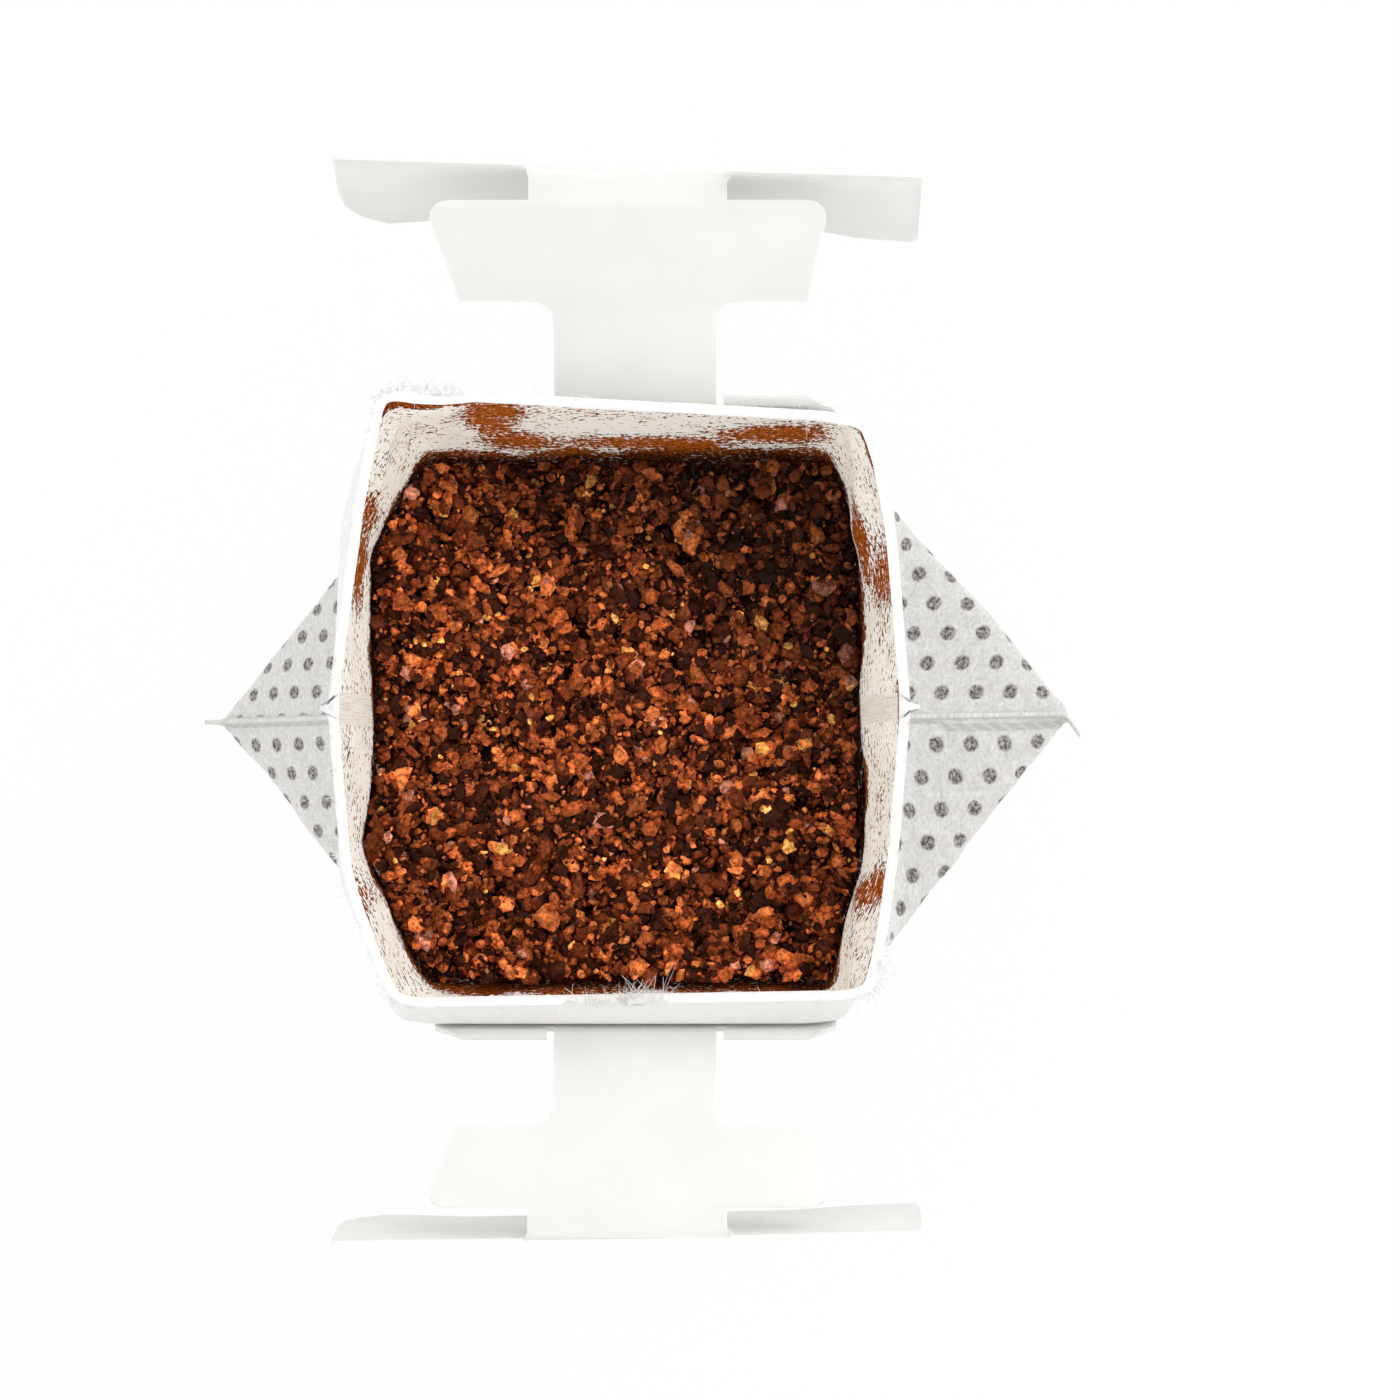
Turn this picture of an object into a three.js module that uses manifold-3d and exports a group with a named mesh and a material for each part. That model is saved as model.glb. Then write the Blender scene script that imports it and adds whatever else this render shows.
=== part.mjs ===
// An opened drip coffee bag: a heat-sealed filter pouch, its coffee, and two folded card hangers.
// Millimetres, +Z up. The origin is the middle of the cup rim circle, in the plane of the rim.
import * as THREE from 'three';
import Module from 'manifold-3d';

// Pouch, as it lies flat before it is opened
const POUCH_WIDTH = 90;
const POUCH_HEIGHT = 63;
const WALL = 0.45;
const SEAL_WIDTH = 1.0;
const SEAL_THICKNESS = 0.5;
const CAVITY_SIDE_MARGIN = 1.2;
const CAVITY_BOTTOM_MARGIN = 4;
const FIN_CLOSING = 0.45;
const CAVITY_EVEN_HALF = 30;

// Mouth of the opened pouch: corners, bows of the short sides, and the two side seams
const MOUTH_Z = -2;
const MOUTH_CREASE = 20.25;
const MOUTH_BOW = 30;
const MOUTH_LEFT_REAR = { x: -20.1, y: 26.7 };
const MOUTH_RIGHT_REAR = { x: 20.7, y: 23.6 };
const MOUTH_RIGHT_FRONT = { x: 21.3, y: -23.9 };
const MOUTH_LEFT_FRONT = { x: -19.4, y: -24.6 };
const MOUTH_BOW_LEFT_REAR = { x: -22.1, y: 17.2 };
const MOUTH_BOW_RIGHT_REAR = { x: 22.8, y: 15.0 };
const MOUTH_BOW_RIGHT_FRONT = { x: 22.9, y: -12.6 };
const MOUTH_BOW_LEFT_FRONT = { x: -23.1, y: -13.6 };
const MOUTH_LEFT_SEAM = { x: -24.3, y: 0.2 };
const MOUTH_RIGHT_SEAM = { x: 24.0, y: 0.3 };

// Walls behind the glued card panels: they are held flat and lean inward towards the bottom
const FOLD_Z = -7;
const REAR_WALL_Y = 25.6;
const FRONT_WALL_Y = -26.6;
const WALL_LEAN = 0.27;

// Shoulders below the lip, and the waist above the coffee, where seams and walls draw in
const SHOULDER_ACROSS = 31;
const SHOULDER_DOWN = 6.5;
const SHOULDER_Z = -8.3;
const SHOULDER_LEFT_REAR = { x: -24.0, y: 16.4 };
const SHOULDER_RIGHT_REAR = { x: 22.6, y: 14.8 };
const SHOULDER_RIGHT_FRONT = { x: 22.9, y: -13.0 };
const SHOULDER_LEFT_FRONT = { x: -24.0, y: -14.2 };
const WAIST_ACROSS = 32;
const WAIST_DOWN = 15;
const WAIST_Z = -16.5;
const WAIST_WALL_LEFT_X = -17.0;
const WAIST_WALL_RIGHT_X = 17.7;
const WAIST_LEFT_REAR = { x: -22.1, y: 14.8 };
const WAIST_RIGHT_REAR = { x: 20.6, y: 13.4 };
const WAIST_RIGHT_FRONT = { x: 21.0, y: -13.2 };
const WAIST_LEFT_FRONT = { x: -22.4, y: -11.5 };
const WAIST_LEFT_SEAM = { x: -21.7, y: 0.2 };
const WAIST_RIGHT_SEAM = { x: 20.4, y: 0.3 };

// The two side fins, where the side of the pouch turns outward, and the sealed bottom
const RIGHT_FIN_CREASE = { across: 27, down: 42 };
const LEFT_FIN_CREASE = { across: 31, down: 45 };
const RIGHT_FIN_REAR = { x: 24.0, y: 20.4, z: -45 };
const RIGHT_FIN_FRONT = { x: 23.8, y: -21.0, z: -45 };
const LEFT_FIN_REAR = { x: -25.8, y: 15.0, z: -46 };
const LEFT_FIN_FRONT = { x: -25.8, y: -14.6, z: -46 };
const RIGHT_SEAM_BEND = { down: 44.5, x: 24.4, y: 0.6, z: -44.2 };
const LEFT_SEAM_BEND = { down: 41, x: -25.0, y: 0.5, z: -42 };
const RIGHT_TIP = { x: 41.4, y: 1.1, z: -51.5 };
const LEFT_TIP = { x: -38.7, y: 0.5, z: -59.3 };
const BOTTOM_QUARTER = 27;
const BOTTOM_RIGHT = { x: 25.5, y: 0.6, z: -57 };
const BOTTOM_LEFT = { x: -25.8, y: 0.4, z: -58.5 };
const BOTTOM_MIDDLE = { x: 0, y: 0.4, z: -59 };
const FOLD_SOFTNESS = 1;

// Coffee
const COFFEE_TOP = -16.8;
const COFFEE_CLEARANCE = 0.5;
const GRAIN_RISE = 1.1;
const GRAIN_SIZE = 1.7;
const GRAIN_JITTER = 0.3;
const COFFEE_SHARE = 0.38;
const JITTER_COLUMN_STEP = 17;
const JITTER_ROW_STEP = 29;
const BLOCK_DEPTH_SPARE = 10;

// Card hangers
const CARD = 0.4;
const GLUE_GAP = 0.3;
const PANEL_WIDTH = 34;
const PANEL_LENGTH = 21;
const PANEL_CORNER = 2.5;
const PANEL_STEP = 0.8;
const PANEL_FLAT_MARGIN = 2.5;
const RELIEF_CUT = 0.6;
const STEM_WIDTH = 13.7;
const STEM_LENGTH = 8.8;
const STEM_FILLET = 2;
const SHOULDER_INNER_WIDTH = 29.3;
const SHOULDER_OUTER_WIDTH = 33.2;
const SHOULDER_CORNER = 1.6;
const NECK_WIDTH = 16.6;
const SLIT = 0.35;
const WING_WIDTH = 49.2;
const WING_HEIGHT = 16;
const WING_CORNER_LARGE = 7;
const WING_CORNER_SMALL = 1.2;
const ROOT_BEND_RADIUS = 0.5;
const RIM_BEND_RADIUS = 0.8;
const HANGER_CENTRE_X = 0.4;
const REAR = { wallY: REAR_WALL_Y, rimY: 45.9, rest: 2.7, wingLean: 0.29, wingTwist: -0.02 };
const FRONT = { wallY: FRONT_WALL_Y, rimY: -44.05, rest: 1.85, wingLean: 0.09, wingTwist: 0.035 };
const NECK_LEAN_SHARE = 0.5;

const GRID_STEP = 1.5;
const POUCH_COLUMNS = 31;
const POUCH_ROWS = 23;
const CUT_SEGMENTS = 4;
const EAR_BENDS = 3;

const wasm = await Module();
wasm.setup();

const HALF = POUCH_WIDTH / 2;
const COFFEE_REACH = COFFEE_SHARE * POUCH_WIDTH;
const CARD_HALF = PANEL_WIDTH / 2 + PANEL_FLAT_MARGIN;

const clothMaterial = new THREE.MeshStandardMaterial({ color: 0xeeebe4, roughness: 0.95, metalness: 0 });
const coffeeMaterial = new THREE.MeshStandardMaterial({ color: 0x3a1c0e, roughness: 0.9, metalness: 0 });
const cardMaterial = new THREE.MeshStandardMaterial({ color: 0xf0eeea, roughness: 0.8, metalness: 0 });

// One fold corner of a pouch panel: its place on the flat panel, and where it stands when opened.
function corner(across, down, place, height = MOUTH_Z) {
  return { across, down, point: new THREE.Vector3(place.x, place.y, place.z ?? height) };
}

// The facets of one end of a panel, from the named fold corners of that end.
function endFacets(end) {
  return [
    [end.seam, end.bow, end.shoulder], [end.bow, end.mouth, end.shoulder],
    [end.mouth, end.fold, end.shoulder], [end.fold, end.waist, end.side],
    [end.fold, end.side, end.shoulder], [end.shoulder, end.side, end.pinch],
    [end.seam, end.shoulder, end.pinch], [end.pinch, end.side, end.fin],
    [end.pinch, end.fin, end.bend], [end.side, end.waist, end.wallEnd],
    [end.side, end.wallEnd, end.fin], [end.bend, end.fin, end.tip],
    [end.fin, end.bottom, end.tip], [end.wallEnd, end.bottom, end.fin],
  ];
}

// The flat facets that a panel folds into, as triangles between fold corners.
function panelFacets(side) {
  const rear = side > 0;
  const shoulderLeft = rear ? SHOULDER_LEFT_REAR : SHOULDER_LEFT_FRONT;
  const shoulderRight = rear ? SHOULDER_RIGHT_REAR : SHOULDER_RIGHT_FRONT;
  const wallY = rear ? REAR_WALL_Y : FRONT_WALL_Y;
  const wallEndZ = FOLD_Z - PANEL_LENGTH - 1;
  const onWall = (across, x, z) => {
    const y = wallY + side * WALL_LEAN * (z - FOLD_Z);
    return corner(across, MOUTH_Z - z, { x, y, z });
  };
  const middle = corner(0, POUCH_HEIGHT, BOTTOM_MIDDLE);
  const left = {
    seam: corner(-HALF, 0, MOUTH_LEFT_SEAM),
    bow: corner(-MOUTH_BOW, 0, rear ? MOUTH_BOW_LEFT_REAR : MOUTH_BOW_LEFT_FRONT),
    mouth: corner(-MOUTH_CREASE, 0, rear ? MOUTH_LEFT_REAR : MOUTH_LEFT_FRONT),
    fold: onWall(-CARD_HALF, -CARD_HALF, FOLD_Z),
    shoulder: corner(-SHOULDER_ACROSS, SHOULDER_DOWN, shoulderLeft, SHOULDER_Z),
    waist: onWall(-CARD_HALF, WAIST_WALL_LEFT_X, WAIST_Z),
    side: corner(-WAIST_ACROSS, WAIST_DOWN, rear ? WAIST_LEFT_REAR : WAIST_LEFT_FRONT, WAIST_Z),
    pinch: corner(-HALF, WAIST_DOWN, WAIST_LEFT_SEAM, WAIST_Z),
    wallEnd: onWall(-CARD_HALF, -CARD_HALF, wallEndZ),
    fin: corner(-LEFT_FIN_CREASE.across, LEFT_FIN_CREASE.down, rear ? LEFT_FIN_REAR : LEFT_FIN_FRONT),
    bend: corner(-HALF, LEFT_SEAM_BEND.down, LEFT_SEAM_BEND),
    tip: corner(-HALF, POUCH_HEIGHT, LEFT_TIP),
    bottom: corner(-BOTTOM_QUARTER, POUCH_HEIGHT, BOTTOM_LEFT),
  };
  const right = {
    seam: corner(HALF, 0, MOUTH_RIGHT_SEAM),
    bow: corner(MOUTH_BOW, 0, rear ? MOUTH_BOW_RIGHT_REAR : MOUTH_BOW_RIGHT_FRONT),
    mouth: corner(MOUTH_CREASE, 0, rear ? MOUTH_RIGHT_REAR : MOUTH_RIGHT_FRONT),
    fold: onWall(CARD_HALF, CARD_HALF, FOLD_Z),
    shoulder: corner(SHOULDER_ACROSS, SHOULDER_DOWN, shoulderRight, SHOULDER_Z),
    waist: onWall(CARD_HALF, WAIST_WALL_RIGHT_X, WAIST_Z),
    side: corner(WAIST_ACROSS, WAIST_DOWN, rear ? WAIST_RIGHT_REAR : WAIST_RIGHT_FRONT, WAIST_Z),
    pinch: corner(HALF, WAIST_DOWN, WAIST_RIGHT_SEAM, WAIST_Z),
    wallEnd: onWall(CARD_HALF, CARD_HALF, wallEndZ),
    fin: corner(RIGHT_FIN_CREASE.across, RIGHT_FIN_CREASE.down, rear ? RIGHT_FIN_REAR : RIGHT_FIN_FRONT),
    bend: corner(HALF, RIGHT_SEAM_BEND.down, RIGHT_SEAM_BEND),
    tip: corner(HALF, POUCH_HEIGHT, RIGHT_TIP),
    bottom: corner(BOTTOM_QUARTER, POUCH_HEIGHT, BOTTOM_RIGHT),
  };
  return [
    ...endFacets(left), ...endFacets(right),
    [left.mouth, right.mouth, right.fold], [left.mouth, right.fold, left.fold],
    [left.fold, right.fold, right.waist], [left.fold, right.waist, left.waist],
    [left.waist, right.waist, right.wallEnd], [left.waist, right.wallEnd, left.wallEnd],
    [left.wallEnd, right.wallEnd, middle], [left.wallEnd, middle, left.bottom],
    [right.wallEnd, right.bottom, middle],
  ];
}

// A point of the flat panel, carried by the facet that it lies in.
function foldedPoint(facets, across, down) {
  let best = null;
  for (const [a, b, c] of facets) {
    const area = (b.across - a.across) * (c.down - a.down) - (c.across - a.across) * (b.down - a.down);
    const wb = ((across - a.across) * (c.down - a.down) - (c.across - a.across) * (down - a.down)) / area;
    const wc = ((b.across - a.across) * (down - a.down) - (across - a.across) * (b.down - a.down)) / area;
    const inside = Math.min(wb, wc, 1 - wb - wc);
    if (best === null || inside > best.inside) best = { inside, a, b, c, wb, wc };
  }
  return new THREE.Vector3()
    .addScaledVector(best.a.point, 1 - best.wb - best.wc)
    .addScaledVector(best.b.point, best.wb)
    .addScaledVector(best.c.point, best.wc);
}

// A panel as a fine grid of points whose fold lines are rounded by averaging neighbours.
function softPanel(side) {
  const facets = panelFacets(side);
  const columns = Math.round(POUCH_WIDTH / GRID_STEP);
  const rows = Math.round(POUCH_HEIGHT / GRID_STEP);
  let grid = [];
  for (let j = 0; j <= rows; j++) {
    grid.push([]);
    for (let i = 0; i <= columns; i++) {
      grid[j].push(foldedPoint(facets, -HALF + (POUCH_WIDTH * i) / columns, (POUCH_HEIGHT * j) / rows));
    }
  }
  const average = (before, here, after) =>
    new THREE.Vector3().addScaledVector(before, 0.25).addScaledVector(here, 0.5).addScaledVector(after, 0.25);
  for (let pass = 0; pass < FOLD_SOFTNESS; pass++) {
    grid = grid.map((row, j) => row.map((here, i) =>
      j === 0 || j === rows ? here.clone() : average(grid[j - 1][i], here, grid[j + 1][i])));
    grid = grid.map((row) => row.map((here, i) =>
      i === 0 || i === columns ? here.clone() : average(row[i - 1], here, row[i + 1])));
  }
  return { grid, columns, rows };
}

// The place on a soft panel of a flat point, between the four grid points around it.
function panelPoint(panel, across, down) {
  const u = THREE.MathUtils.clamp(((across + HALF) / POUCH_WIDTH) * panel.columns, 0, panel.columns);
  const v = THREE.MathUtils.clamp((down / POUCH_HEIGHT) * panel.rows, 0, panel.rows);
  const i = Math.min(Math.floor(u), panel.columns - 1);
  const j = Math.min(Math.floor(v), panel.rows - 1);
  const top = panel.grid[j][i].clone().lerp(panel.grid[j][i + 1], u - i);
  const bottom = panel.grid[j + 1][i].clone().lerp(panel.grid[j + 1][i + 1], u - i);
  return top.lerp(bottom, v - j);
}

// The outward direction of a panel at a flat point.
function panelNormal(panel, side, across, down) {
  const reach = GRID_STEP;
  const left = panelPoint(panel, Math.max(across - reach, -HALF), down);
  const right = panelPoint(panel, Math.min(across + reach, HALF), down);
  const above = panelPoint(panel, across, Math.max(down - reach, 0));
  const below = panelPoint(panel, across, Math.min(down + reach, POUCH_HEIGHT));
  return right.sub(left).cross(below.sub(above)).normalize().multiplyScalar(side);
}

function insetPoint(panel, side, across, down, inset) {
  return panelPoint(panel, across, down).addScaledVector(panelNormal(panel, side, across, down), -inset);
}

const rearPanel = softPanel(1);
const frontPanel = softPanel(-1);

// How far the inside of the pouch reaches across at a depth: the fins are pressed shut at their tips.
function cavityHalf(down) {
  const closing = Math.max(0, down - RIGHT_FIN_CREASE.down);
  return HALF - CAVITY_SIDE_MARGIN - FIN_CLOSING * closing;
}

// The depths of the rings, from the mouth to a given depth. Inner and outer rings share them.
function ringDepths(end) {
  const step = POUCH_HEIGHT / POUCH_ROWS;
  const depths = [];
  for (let row = 0; row * step < end - step / 2; row++) depths.push(row * step);
  return [...depths, end];
}

function closedGeometry(points, triangles) {
  const geometry = new THREE.BufferGeometry();
  const positions = points.flatMap((p) => [p.x, p.y, p.z]);
  geometry.setAttribute('position', new THREE.Float32BufferAttribute(positions, 3));
  geometry.setIndex(triangles.flat());
  geometry.computeVertexNormals();
  return geometry;
}

// Joins two rings of equal length, which run rear left to right, then front right to left.
// Each four-cornered cell is split along the diagonal that stands out, so that folds stay crisp.
function joinRings(points, triangles, firstOfUpper, firstOfLower, count, outward) {
  for (let i = 0; i < count; i++) {
    const next = (i + 1) % count;
    const a = firstOfUpper + i;
    const b = firstOfUpper + next;
    const c = firstOfLower + next;
    const d = firstOfLower + i;
    const [pa, pb, pc, pd] = [a, b, c, d].map((index) => points[index]);
    const facing = pb.clone().sub(pa).cross(pc.clone().sub(pa));
    const hollow = facing.dot(pd.clone().sub(pa)) > 0;
    const pair = hollow ? [[a, b, d], [b, c, d]] : [[a, b, c], [a, c, d]];
    for (const [p, q, r] of pair) triangles.push(outward ? [p, q, r] : [p, r, q]);
  }
}

// Closes a ring whose rear half faces its front half, point by point.
function closeRing(triangles, first, count, outward) {
  for (let i = 0; i < count / 2 - 1; i++) {
    const a = first + i;
    const b = first + i + 1;
    const c = first + count - 2 - i;
    const d = first + count - 1 - i;
    if (outward) triangles.push([a, b, c], [a, c, d]);
    else triangles.push([a, c, b], [a, d, c]);
  }
}

// The sealed edge beyond a side seam stands square to the run of the seam.
function sealDirection(edge, down) {
  const across = edge * HALF;
  const above = panelPoint(rearPanel, across, Math.max(down - GRID_STEP, 0));
  const below = panelPoint(rearPanel, across, Math.min(down + GRID_STEP, POUCH_HEIGHT));
  const run = below.sub(above);
  return new THREE.Vector3(-run.z * edge, 0, run.x * edge).normalize();
}

function outerRing(down, drop) {
  const ring = [];
  const lip = SEAL_THICKNESS / 2;
  const lower = new THREE.Vector3(0, 0, -drop);
  const place = (panel, side, i) => {
    const across = -HALF + (POUCH_WIDTH * i) / POUCH_COLUMNS;
    const point = panelPoint(panel, across, down).add(lower);
    const sealed = i === 0 || i === POUCH_COLUMNS || down >= POUCH_HEIGHT;
    if (sealed) point.y += side * lip;
    return point;
  };
  const seal = (edge, side) => {
    const point = panelPoint(rearPanel, edge * HALF, down).add(lower);
    point.y += side * lip;
    return point.addScaledVector(sealDirection(edge, down), SEAL_WIDTH);
  };
  ring.push(seal(-1, 1));
  for (let i = 0; i <= POUCH_COLUMNS; i++) ring.push(place(rearPanel, 1, i));
  ring.push(seal(1, 1), seal(1, -1));
  for (let i = POUCH_COLUMNS; i >= 0; i--) ring.push(place(frontPanel, -1, i));
  ring.push(seal(-1, -1));
  return ring;
}

// An inner ring has its points behind those of the outer ring, drawn together only near the seams.
function cavityRing(down, inset, half) {
  const squeeze = (half - CAVITY_EVEN_HALF) / (HALF - CAVITY_EVEN_HALF);
  const across = (i) => {
    const place = -HALF + (POUCH_WIDTH * i) / POUCH_COLUMNS;
    const beyond = Math.max(0, Math.abs(place) - CAVITY_EVEN_HALF);
    return place - Math.sign(place) * beyond * (1 - squeeze);
  };
  const ring = [];
  for (let i = 0; i <= POUCH_COLUMNS; i++) ring.push(insetPoint(rearPanel, 1, across(i), down, inset));
  for (let i = POUCH_COLUMNS; i >= 0; i--) ring.push(insetPoint(frontPanel, -1, across(i), down, inset));
  return ring;
}

// The pouch: its outside, its inside, the cut lip between them, and the sealed edges.
function filterBag() {
  const points = [];
  const triangles = [];
  const outerCount = 2 * (POUCH_COLUMNS + 1) + 4;
  const innerCount = 2 * (POUCH_COLUMNS + 1);
  for (let j = 0; j <= POUCH_ROWS; j++) {
    points.push(...outerRing((POUCH_HEIGHT * j) / POUCH_ROWS, 0));
    if (j > 0) joinRings(points, triangles, (j - 1) * outerCount, j * outerCount, outerCount, true);
  }
  points.push(...outerRing(POUCH_HEIGHT, SEAL_WIDTH));
  joinRings(points, triangles, POUCH_ROWS * outerCount, (POUCH_ROWS + 1) * outerCount, outerCount, true);
  closeRing(triangles, (POUCH_ROWS + 1) * outerCount, outerCount, true);

  const innerStart = points.length;
  ringDepths(POUCH_HEIGHT - CAVITY_BOTTOM_MARGIN).forEach((down, j) => {
    points.push(...cavityRing(down, WALL, cavityHalf(down)));
    const first = innerStart + j * innerCount;
    if (j > 0) joinRings(points, triangles, first - innerCount, first, innerCount, false);
  });
  closeRing(triangles, points.length - innerCount, innerCount, false);
  joinLip(triangles, innerStart);
  return closedGeometry(points, triangles);
}

// The lip: the outer ring has one more point on each side of each sealed edge than the inner ring.
function joinLip(triangles, innerStart) {
  const rear = POUCH_COLUMNS + 1;
  for (let i = 0; i < POUCH_COLUMNS; i++) {
    const outerRear = 1 + i;
    const innerRear = innerStart + i;
    triangles.push([outerRear, innerRear, innerRear + 1], [outerRear, innerRear + 1, outerRear + 1]);
    const outerFront = rear + 3 + i;
    const innerFront = innerStart + rear + i;
    triangles.push([outerFront, innerFront, innerFront + 1], [outerFront, innerFront + 1, outerFront + 1]);
  }
  const last = 2 * rear + 3;
  const innerRight = innerStart + POUCH_COLUMNS;
  triangles.push(
    [rear, innerRight, rear + 1], [rear + 1, innerRight, innerRight + 1],
    [rear + 1, innerRight + 1, rear + 2], [rear + 2, innerRight + 1, rear + 3],
  );
  const innerLastFront = innerStart + 2 * rear - 1;
  triangles.push(
    [last - 1, innerLastFront, last], [last, innerLastFront, innerStart],
    [last, innerStart, 0], [0, innerStart, 1],
  );
}

// A repeatable height between -1 and 1 for each corner of the coffee's surface grid.
function grainHeight(column, row) {
  const wave = Math.sin(column * 127.1 + row * 311.7) * 43758.5453;
  return 2 * (wave - Math.floor(wave)) - 1;
}

// A block below a grainy surface, wide enough to cover the whole mouth.
function grainyBlock() {
  const points = [];
  const triangles = [];
  const cells = Math.ceil((2 * COFFEE_REACH) / GRAIN_SIZE);
  const floor = LEFT_TIP.z - 2 * SEAL_WIDTH - WALL - BLOCK_DEPTH_SPARE;
  for (let row = 0; row <= cells; row++) {
    for (let column = 0; column <= cells; column++) {
      const x = -COFFEE_REACH + column * GRAIN_SIZE;
      const y = -COFFEE_REACH + row * GRAIN_SIZE;
      const shift = GRAIN_SIZE * GRAIN_JITTER;
      points.push(new THREE.Vector3(
        x + shift * grainHeight(column + JITTER_COLUMN_STEP, row),
        y + shift * grainHeight(column, row + JITTER_ROW_STEP),
        COFFEE_TOP + GRAIN_RISE * grainHeight(column, row),
      ));
    }
  }
  const wide = cells + 1;
  for (let row = 0; row < cells; row++) {
    for (let column = 0; column < cells; column++) {
      const a = row * wide + column;
      triangles.push([a, a + 1, a + wide + 1], [a, a + wide + 1, a + wide]);
    }
  }
  const rim = [];
  for (let column = 0; column < cells; column++) rim.push(column);
  for (let row = 0; row < cells; row++) rim.push(row * wide + cells);
  for (let column = cells; column > 0; column--) rim.push(cells * wide + column);
  for (let row = cells; row > 0; row--) rim.push(row * wide);
  const foot = points.length;
  for (const index of rim) points.push(new THREE.Vector3(points[index].x, points[index].y, floor));
  const middle = points.length;
  points.push(new THREE.Vector3(0, 0, floor));
  rim.forEach((index, i) => {
    const next = (i + 1) % rim.length;
    triangles.push([index, foot + i, foot + next], [index, foot + next, rim[next]]);
    triangles.push([foot + i, middle, foot + next]);
  });
  return solid(points, triangles);
}

function solid(points, triangles) {
  const vertProperties = new Float32Array(points.flatMap((p) => [p.x, p.y, p.z]));
  const triVerts = new Uint32Array(triangles.flat());
  return new wasm.Manifold(new wasm.Mesh({ numProp: 3, vertProperties, triVerts }));
}

// The room inside the pouch, less the coffee's clearance, from the mouth to the closed end.
function insideOfPouch() {
  const points = [];
  const triangles = [];
  const count = 2 * (POUCH_COLUMNS + 1);
  ringDepths(POUCH_HEIGHT - CAVITY_BOTTOM_MARGIN - COFFEE_CLEARANCE).forEach((down, j) => {
    points.push(...cavityRing(down, WALL + COFFEE_CLEARANCE, cavityHalf(down) - COFFEE_CLEARANCE));
    if (j > 0) joinRings(points, triangles, (j - 1) * count, j * count, count, true);
  });
  closeRing(triangles, points.length - count, count, true);
  closeRing(triangles, 0, count, false);
  return solid(points, triangles);
}

// The coffee fills the pouch to a level, with a coarse grainy top.
function coffeeGrounds() {
  const mesh = insideOfPouch().intersect(grainyBlock()).getMesh();
  const geometry = new THREE.BufferGeometry();
  geometry.setAttribute('position', new THREE.Float32BufferAttribute(mesh.vertProperties, 3));
  geometry.setIndex(Array.from(mesh.triVerts));
  geometry.computeVertexNormals();
  return geometry;
}

// The run of the card, seen from the side: up the bag wall, out to the rim, across it and down.
function cardPath(wallY, rimY, rest) {
  const wallAngle = Math.atan2(1, WALL_LEAN);
  const rootY = wallY + GLUE_GAP + CARD;
  const restY = rimY - RIM_BEND_RADIUS - rest;
  const armAngle = Math.atan2(-FOLD_Z, restY - rootY);
  const armLength = Math.hypot(FOLD_Z, restY - rootY);
  const rootBend = ROOT_BEND_RADIUS * (wallAngle - armAngle);
  const runs = [
    { length: PANEL_LENGTH, turn: 0 },
    { length: rootBend, turn: armAngle - wallAngle, steps: 2 },
    { length: armLength - rootBend, turn: 0 },
    { length: RIM_BEND_RADIUS * armAngle, turn: -armAngle, steps: 2 },
    { length: rest, turn: 0 },
    { length: RIM_BEND_RADIUS * (Math.PI / 2), turn: -Math.PI / 2, steps: 4 },
    { length: WING_HEIGHT, turn: 0 },
  ];
  const stations = [];
  let y = 0;
  let z = 0;
  let angle = wallAngle;
  let along = -PANEL_LENGTH;
  stations.push({ along, y, z, angle });
  for (const run of runs) {
    const steps = run.steps ?? 1;
    for (let step = 0; step < steps; step++) {
      const heading = angle + run.turn / steps / 2;
      y += (run.length / steps) * Math.cos(heading);
      z += (run.length / steps) * Math.sin(heading);
      angle += run.turn / steps;
      along += run.length / steps;
      stations.push({ along, y, z, angle });
    }
  }
  const restStart = stations.findIndex((s) => Math.abs(s.angle) < 1e-9);
  const shiftY = restY - stations[restStart].y;
  const shiftZ = -stations[restStart].z;
  for (const station of stations) {
    station.y += shiftY;
    station.z += shiftZ;
  }
  return {
    stations,
    slitAlong: stations[restStart].along,
    rimAlong: stations[restStart + 1].along,
    wingStart: stations[stations.length - 2],
  };
}

// The place and heading of the card at a distance along its run.
function alongPath(path, along) {
  const { stations } = path;
  let k = 0;
  while (k < stations.length - 2 && along > stations[k + 1].along) k++;
  const from = stations[k];
  const to = stations[k + 1];
  const share = (along - from.along) / (to.along - from.along);
  return {
    y: from.y + (to.y - from.y) * share,
    z: from.z + (to.z - from.z) * share,
    angle: from.angle + (to.angle - from.angle) * share,
  };
}

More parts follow.
